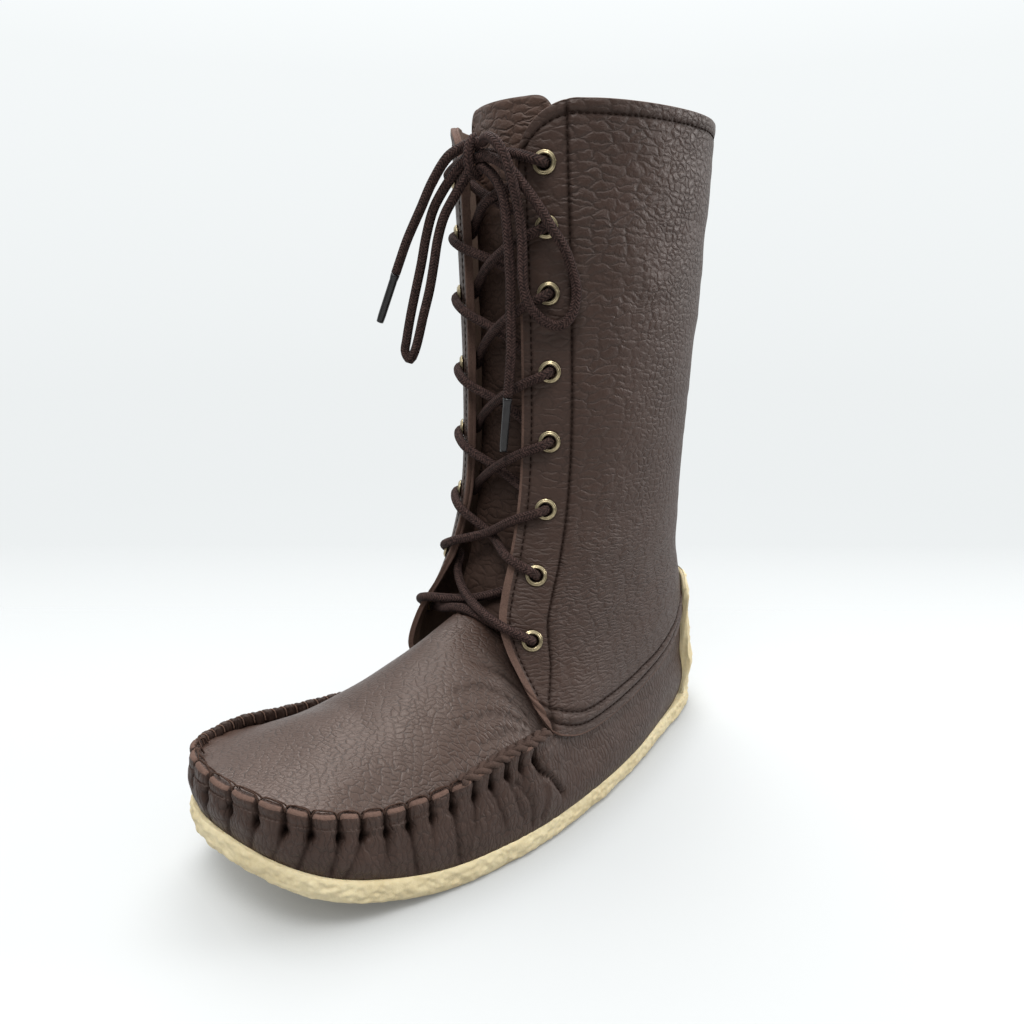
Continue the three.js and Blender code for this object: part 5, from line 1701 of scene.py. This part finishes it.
def add_tongue():
    across = np.linspace(-1, 1, TONGUE_COLUMNS)
    rows = []
    for s in np.linspace(*TONGUE_ROOT, TONGUE_ROOT_ROWS):
        xs = across * TONGUE_HALF["root"]
        rows.append(np.stack([xs, np.full_like(xs, -s), plug_height(xs, s)], -1))
    rim_drop = TONGUE_CORNER * across**CORNER_POWER
    for z in np.linspace(TONGUE_START, TONGUE_TOP, TONGUE_ROWS):
        half = mix(TONGUE_HALF["root"], TONGUE_HALF["top"], ease(z, TONGUE_HALF["from"], TONGUE_HALF["to"]))
        lean = TONGUE_LEAN * ease(z, TONGUE_LEAN_FROM, COLLAR_HEIGHT)
        row = throat_row(across * half + lean * (1 + across), z)
        row[:, 2] -= rim_drop * ease(z, COLLAR_HEIGHT - CORNER_FALL, COLLAR_HEIGHT)
        rows.append(row)
    skin = np.array(rows)
    lift = -TONGUE_DEPTH + TONGUE_WAVE["by"] * noise(skin, TONGUE_WAVE["size"], TONGUE_WAVE["seed"])
    for crossing in CROSSINGS:
        above = skin[..., 2] - crossing_height(crossing)
        lift = lift - dent(above, LACE_DENT["tall"], LACE_DENT["depth"]) * dent(across, LACE_DENT["wide"])
    below = TONGUE_TOP - skin[..., 2] - rim_drop - TONGUE_STITCH["below"]
    lift = lift - dent(below, TONGUE_STITCH["width"], TONGUE_STITCH["depth"])
    face = skin + grid_normals(skin) * lift[..., None]
    faces = grid_faces(*face.shape[:2])
    uv = loop_uv(faces, face.reshape(-1, 3)[:, ::2])
    # Painted shade: darker lower down, lighter at the top
    shade = TONGUE_SHADE["by"] * (1 - ease(face[..., 2], *TONGUE_SHADE["heights"]))
    looks = [TONGUE_LEATHER, FLESH, RAW_EDGE]
    tongue = make("leather_tongue", face.reshape(-1, 3), faces, looks, uv=uv, shade=shade.ravel())
    thicken(tongue)
    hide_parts("tongue")


add_tongue()


# Thread

# A stitch: shares along it, heights above the leather and shares of its radius
STITCH_STATIONS = ((-0.5, -0.4, 0.5), (-0.34, 0.08, 0.95), (0, 0.24, 1), (0.34, 0.08, 0.95), (0.5, -0.4, 0.5))
STITCH_SIDES = 6
STITCH_PITCH = 3.0
STITCH_LENGTH = 2.3
STITCH_RADIUS = 0.33
STITCH_REACH = 0.4
# How far the stitch lines stop short of their ends, and the share of the lap that is stitched
EYESTAY_ENDS = (4, 4)
EDGE_START = 6
COLLAR_END = 4.5
LAP_END = 0.97
SEAM_THREAD_RADIUS = 0.3
SEAM_THREAD_STEP = 0.7
THREAD_DRIFT = np.random.default_rng(47).uniform(-1, 1, (80, 4))


def stitches(path, normals):
    """A line of stitches that dip into the leather at both ends."""
    run = lengths_of(path)
    number = int(run[-1] / STITCH_PITCH)
    places = (np.arange(number) + 0.5) * run[-1] / number

    def along(values, at):
        return np.stack([np.interp(at, run, values[:, k]) for k in range(3)], -1)

    centre = along(path, places)
    ahead = unit(along(path, places + STITCH_REACH) - along(path, places - STITCH_REACH))
    out = unit(along(normals, places))
    sideways = np.cross(ahead, out)
    angle = 2 * np.pi * np.arange(STITCH_SIDES) / STITCH_SIDES
    rings = []
    for share, height, swell in STITCH_STATIONS:
        middle = centre + ahead * share * STITCH_LENGTH + out * height
        ring = out[:, None] * np.cos(angle)[:, None] + sideways[:, None] * np.sin(angle)[:, None]
        rings.append(middle[:, None] + STITCH_RADIUS * swell * ring)
    verts = np.stack(rings, 1).reshape(-1, 3)
    size = len(STITCH_STATIONS) * STITCH_SIDES
    one = [*grid_faces(len(STITCH_STATIONS), STITCH_SIDES, closed=True).tolist()]
    one += [list(range(STITCH_SIDES))[::-1], list(range(size - STITCH_SIDES, size))]
    faces = [[index + k * size for index in face] for k in range(number) for face in one]
    return verts, faces


def shaft_stitch_lines():
    for side in (1, -1):
        z = np.linspace(STITCH_FOOT + EYESTAY_ENDS[0], COLLAR_HEIGHT - EYESTAY_ENDS[1], 220)
        yield shaft_line(side, 1 - lookup(EYESTAY_STITCH, "z", "reach", z) / section_length(side, z), z)
        z = np.linspace(STITCH_FOOT + EDGE_START, COLLAR_HEIGHT - FLAP_CORNER, 200)
        yield shaft_line(side, 1 - EDGE_STITCH / section_length(side, z), z)
        share = np.linspace(0, 1 - COLLAR_END / section_length(side, COLLAR_HEIGHT), 220)
        yield shaft_line(side, share, shaft_bounds(side, share)[1] - COLLAR_STITCH)
        for row in LAP_STITCHES:
            share = np.linspace(0, LAP_END, 220)
            yield shaft_line(side, share, shaft_bounds(side, share)[0] + row)


def add_stitches():
    parts = [stitches(path, normals) for path, normals in shaft_stitch_lines()]
    make("shaft_stitches", *joined(parts), [THREAD])


def seam_thread(points):
    """Thread over the ridge, through points given as place, outward and upward."""
    at, out, up = np.array(points, float).T
    path = dense(ridge_point(at, out, up), SEAM_THREAD_STEP)
    return tube(path, SEAM_THREAD_RADIUS, STITCH_SIDES)[:2]


# A thread that crosses a tab: outward and upward at its two ends, beside them and in the middle
CROSS_POINTS = ((0.6, 2.4), (-0.1, 4.7), (-1.0, 4.75), (-1.9, 3.7), (-2.8, 1.0))
CROSS_REACH = 1.2
CROSS_DRIFT = {"ends": 0.5, "aside": 1.2, "out": 0.4}
# A turn of the whipping thread: place, outward and upward
WHIP_TURN = ((-0.3, 1.7, 0.8), (0.1, 1.1, 3.7), (0.9, -0.2, 4.35), (1.7, -1.2, 3.4), (2.1, -1.6, 0.8))


def crossed_threads():
    """Threads that cross over each tab, drawn a little unevenly."""
    order = np.sort(PUCKER_AT)
    order = order[order < TOE_AT + ROPED[1]]
    drift = iter(THREAD_DRIFT)
    for a, b in zip(order, order[1:]):
        for start, end, lean in ((a, b, 1), (b, a, -1)):
            aside, outward, first, last = next(drift)
            rise, fall = (CROSS_REACH + CROSS_DRIFT["ends"] * share for share in (first, last))
            middle = (a + b) / 2 + CROSS_DRIFT["aside"] * aside
            out, up = np.array(CROSS_POINTS).T
            out[2] += CROSS_DRIFT["out"] * outward
            places = (start, start + rise * lean, middle, end - fall * lean, end)
            yield seam_thread(np.stack([places, out, up], -1))


def whipped_threads():
    """Turns of thread round the roped part of the ridge."""
    first, last = math.ceil(ROPED[0] / WHIP_SPAN), PUCKERS["place"][-1] // WHIP_SPAN
    for turn in np.arange(first, last + 1):
        yield seam_thread(np.array(WHIP_TURN) + (TOE_AT + WHIP_SPAN * turn, 0, 0))


def add_seam_threads():
    make("seam_threads", *joined(list(crossed_threads())), [SEAM_THREAD])
    make("seam_whipping", *joined(list(whipped_threads())), [WHIPPING])


BRAID_ENDS = (-160, -114)
BRAID_PITCH = 15
BRAID_STRANDS = 3
BRAID_RADIUS = 1.3
BRAID_SIDES = 10
BRAID_OUT = {"middle": -0.3, "swing": 1.9}
BRAID_UP = {"middle": 3.9, "swing": 0.9}


def add_seam_braid():
    """The gathered end of the seam, where its tabs are plaited."""
    at = TOE_AT + np.linspace(*BRAID_ENDS, 220)
    parts = []
    for k in range(BRAID_STRANDS):
        turn = 2 * np.pi * ((at - TOE_AT) / BRAID_PITCH + k / BRAID_STRANDS)
        out = BRAID_OUT["middle"] + BRAID_OUT["swing"] * np.cos(turn)
        up = BRAID_UP["middle"] + BRAID_UP["swing"] * np.sin(2 * turn)
        parts.append(tube(ridge_point(at, out, up), BRAID_RADIUS, BRAID_SIDES)[:2])
    make("seam_braid", *joined(parts), [WRAPPED])


add_stitches()
add_seam_threads()
add_seam_braid()


# Crepe sole with its heel guard, in one skin

SOLE_COLUMNS = 1000
EDGE_ROWS = 22
GUARD_ROWS = 26
GUARD_BACK_ROWS = 12
STRIP = 0.12
CRUMB_STRIPS = 24
TOP_INSET = SOLE_EDGE["inset"][-1]
GUARD_GAP = 0.15
GUARD_LAPPED = (-4, 0)
TAPER_POWER = 4
# The guard from the sole up its outer face, over its rounded top and down its back: shares of its height,
# and how far out of its thickness
GUARD_FACES = (
    (np.linspace(0.02, 1, GUARD_ROWS), 1.0),
    ((1.012, 1.018, 1.012), 0.75),
    ((1.0, 0.99), 0.2),
    (np.linspace(0.97, 0.0, GUARD_BACK_ROWS), 0.0),
)
# Crumb of the crepe: height, size and seed, with a finer one that is rougher on the guard
CRUMBS = ((0.4, (4, 4, 3), 21), (0.3, (11, 11, 7), 22))
FINE_CRUMB = {"guard": 0.65, "sole": 0.45, "above": 2, "size": (1.8, 1.8, 1.4), "seed": 23}
FOOT_CRUMB = 0.3
SOLE_LID_PARTS = {"bottom": 14, "top": 6}


def guard_height(at):
    """Top of the heel guard round the heel; 0 where there is none."""
    arc = side_length(at)
    inside = np.maximum(0, GUARD_CORNER - np.maximum(GUARD_REACH - arc, 0))
    top = GUARD_TOP - GUARD_CORNER + np.sqrt(np.maximum(GUARD_CORNER**2 - inside**2, 0))
    return np.where(arc < GUARD_REACH, top, 0)


def sole_rows(at, here, out, top, guard_top):
    """Rows of points up the sole's edge and over the heel guard; narrow strips where there is no guard."""
    s = -here[:, 1]
    rows = []
    for up in np.linspace(0, 1, EDGE_ROWS):
        inset = lookup(SOLE_EDGE, "up", "inset", up)
        rows.append(raised(here - out * inset, sole_bottom(s) + up * SOLE_THICKNESS))
    has_guard = guard_top > 0
    for v, outward in ((v, outward) for shares, outward in GUARD_FACES for v in shares):
        z = mix(top, np.maximum(guard_top, top), v)
        skin = rear_surface(at, np.maximum(z, wall_foot(at)[:, 2]))[:, :2]
        lapped = ease(z - lookup(LAP_SEEN, "s", "z", s), *GUARD_LAPPED)
        thin = GUARD_THICKNESS * (1 - GUARD_TAPER * v**TAPER_POWER)
        far = skin + out * (GUARD_GAP + (LAP_GAP + LEATHER) * lapped + thin * outward)[:, None]
        if outward == 1:
            far = mix(here - out * TOP_INSET, far, ease(z, SOLE_THICKNESS, GUARD_BLEND)[:, None])
        strip = here - out * (TOP_INSET + STRIP * (len(rows) - EDGE_ROWS + 1))
        flat = np.where(has_guard[:, None], far, strip)
        rows.append(raised(flat, np.where(has_guard, z, top)))
    return np.array(rows)


def crumb(skin, top, has_guard):
    """How far the crumb of the crepe stands out at each point of the rows."""
    crinkle = sum(by * noise(skin, size, seed) for by, size, seed in CRUMBS)
    on_guard = skin[..., 2] > top + FINE_CRUMB["above"]
    fine = np.where(on_guard, FINE_CRUMB["guard"], FINE_CRUMB["sole"])
    crinkle = crinkle + fine * noise(skin, FINE_CRUMB["size"], FINE_CRUMB["seed"])
    row = np.arange(len(skin))[:, None]
    weight = np.where(row < EDGE_ROWS + GUARD_ROWS, 1, 0)
    weight = np.where(row == 0, FOOT_CRUMB, weight)
    strips = ~has_guard & (row >= EDGE_ROWS)
    settle = np.clip(1 - (row - EDGE_ROWS + 1) / CRUMB_STRIPS, 0, 1)
    return np.where(strips, crinkle[EDGE_ROWS - 1] * settle, crinkle * weight)


def lid(ring, ring_start, parts, start):
    """Points and quads that close a ring with lines across from one side to the other."""
    columns = len(ring)
    left = np.arange(columns // 2 + 1)
    right = (columns - left) % columns
    inner = mix(ring[left][:, None], ring[right][:, None], np.linspace(0, 1, parts + 1)[None, 1:-1, None])
    number = np.arange(inner.shape[0] * inner.shape[1]).reshape(inner.shape[:2])
    index = np.concatenate([ring_start + left[:, None], start + number, ring_start + right[:, None]], 1)
    quads = np.stack([index[:-1, :-1], index[:-1, 1:], index[1:, 1:], index[1:, :-1]], -1)
    return inner.reshape(-1, 3), quads.reshape(-1, 4)


def add_sole():
    at = np.arange(SOLE_COLUMNS) * RING_TOTAL / SOLE_COLUMNS
    here, out = ring_point(at), ring_out(at)
    top, guard_top = sole_top(-here[:, 1]), guard_height(at)
    skin = sole_rows(at, here, out, top, guard_top)
    skin[..., :2] += out * crumb(skin, top, guard_top > 0)[..., None]
    count = len(skin) * SOLE_COLUMNS
    bottom, bottom_faces = lid(skin[0], 0, SOLE_LID_PARTS["bottom"], count)
    last = count - SOLE_COLUMNS
    cover, cover_faces = lid(skin[-1], last, SOLE_LID_PARTS["top"], count + len(bottom))
    verts = np.vstack([skin.reshape(-1, 3), bottom, cover])
    edge_faces = grid_faces(len(skin), SOLE_COLUMNS, closed=True)
    faces = np.vstack([edge_faces, bottom_faces, cover_faces[:, ::-1]])
    sole = make("crepe_sole", verts, faces, [CREPE])
    weld(sole)
    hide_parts("outsole", "heel_guard")


add_sole()

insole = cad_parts["insole"]
insole.data.materials.clear()
insole.data.materials.append(SUEDE)


# Floor, light and world

FLOOR_RADIUS = 1.0
FLOOR_FADE = (0.05, 0.4)
# Brightness of the studio by the height of the direction looked at
SKY = (
    (-0.6, 0.97), (-0.35, 0.9), (-0.2, 0.872), (-0.08, 0.875), (0, 0.895), (0.25, 0.94), (0.55, 1.15),
    (1, 2.0),
)
SKY_TINT = (0.968, 1, 1.006)
# Lamps: place, target, size and power
LIGHTS = (
    ("overhead_back", (-0.45, 0.45, 1.5), (0, 0, 0.12), 1.0, 16),
    ("overhead_front", (0.3, -0.5, 1.3), (0, -0.05, 0.1), 0.5, 9),
    ("right_side", (0.75, 1.1, 0.6), (0, 0.06, 0.15), 0.6, 9),
)
# The studio is darker behind the camera
BACKDROP = (-math.sin(CAMERA_AZIMUTH), math.cos(CAMERA_AZIMUTH), 0)
ROOM = 0.22


def floor_paint():
    """Pale paper that fades into the studio's own white, with a painted glow and a painted contact shadow."""
    material, tree, shader = new_material("pale_floor")
    # Painted light: the floor glows, which lightens its shadows; ambient occlusion dims the glow close to the
    # boot, a painted contact shadow
    open_sky = node(tree, "AmbientOcclusion", {"Distance": 0.024}, samples=8).outputs["AO"]
    painted_glow = remap(tree, open_sky, 0.3, 0.95, 0.1, 0.33)
    away = vector_node(tree, "DOT_PRODUCT", {0: coordinates(tree), 1: BACKDROP}, "Value")
    paint(
        tree, shader, rgb(0.31, 0.314, 0.314), 0.9, 0.1, Emission_Color=rgb(0.985, 1, 1),
        Emission_Strength=painted_glow, Alpha=remap(tree, away, *FLOOR_FADE, 1.0, 0.0),
    )
    return material


def add_floor():
    mesh = bpy.data.meshes.new("floor")
    turn = np.linspace(0, 2 * np.pi, 64, endpoint=False)
    rim = [(FLOOR_RADIUS * math.cos(a), FLOOR_RADIUS * math.sin(a), 0) for a in turn]
    mesh.from_pydata(rim, [], [list(range(len(rim)))])
    mesh.materials.append(floor_paint())
    floor = bpy.data.objects.new("floor", mesh)
    bpy.context.collection.objects.link(floor)
    floor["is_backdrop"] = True


def add_light(name, place, target, size, power):
    data = bpy.data.lights.new(name, "AREA")
    data.shape = "DISK"
    data.size = size
    data.energy = power
    lamp = bpy.data.objects.new(name, data)
    lamp.location = place
    lamp.rotation_euler = (Vector(target) - Vector(place)).to_track_quat("-Z", "Y").to_euler()
    bpy.context.collection.objects.link(lamp)


def add_world():
    world = bpy.data.worlds.new("studio")
    world.use_nodes = True
    tree = world.node_tree
    direction = coordinates(tree, "Generated")
    height = node(tree, "SeparateXYZ", {0: direction}).outputs[2]
    ramp = node(tree, "ValToRGB", {"Fac": remap(tree, height, -1.0, 1.0)})
    stops = ramp.color_ramp.elements
    while len(stops) < len(SKY):
        stops.new(0.5)
    for stop, (level, value) in zip(stops, SKY):
        stop.position = (level + 1) / 2
        stop.color = rgb(*(tint * value for tint in SKY_TINT))
    shade = tree.nodes["Background"]
    tree.links.new(ramp.outputs["Color"], shade.inputs["Color"])
    facing = vector_node(tree, "DOT_PRODUCT", {0: direction, 1: BACKDROP}, "Value")
    lit = remap(tree, facing, -0.3, 0.6, ROOM, 1.0)
    overhead = remap(tree, height, 0.3, 0.7)
    share = times_plus(tree, math_node(tree, "SUBTRACT", 1.0, lit), overhead, lit)
    tree.links.new(share, shade.inputs["Strength"])
    bpy.context.scene.world = world


add_floor()
add_world()
for light in LIGHTS:
    add_light(*light)
bpy.context.scene.view_settings.view_transform = "Standard"

boxes = {"cad": CAD_BOX, "visual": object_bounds()}
{key: [list(map(float, corner)) for corner in box] for key, box in boxes.items()}
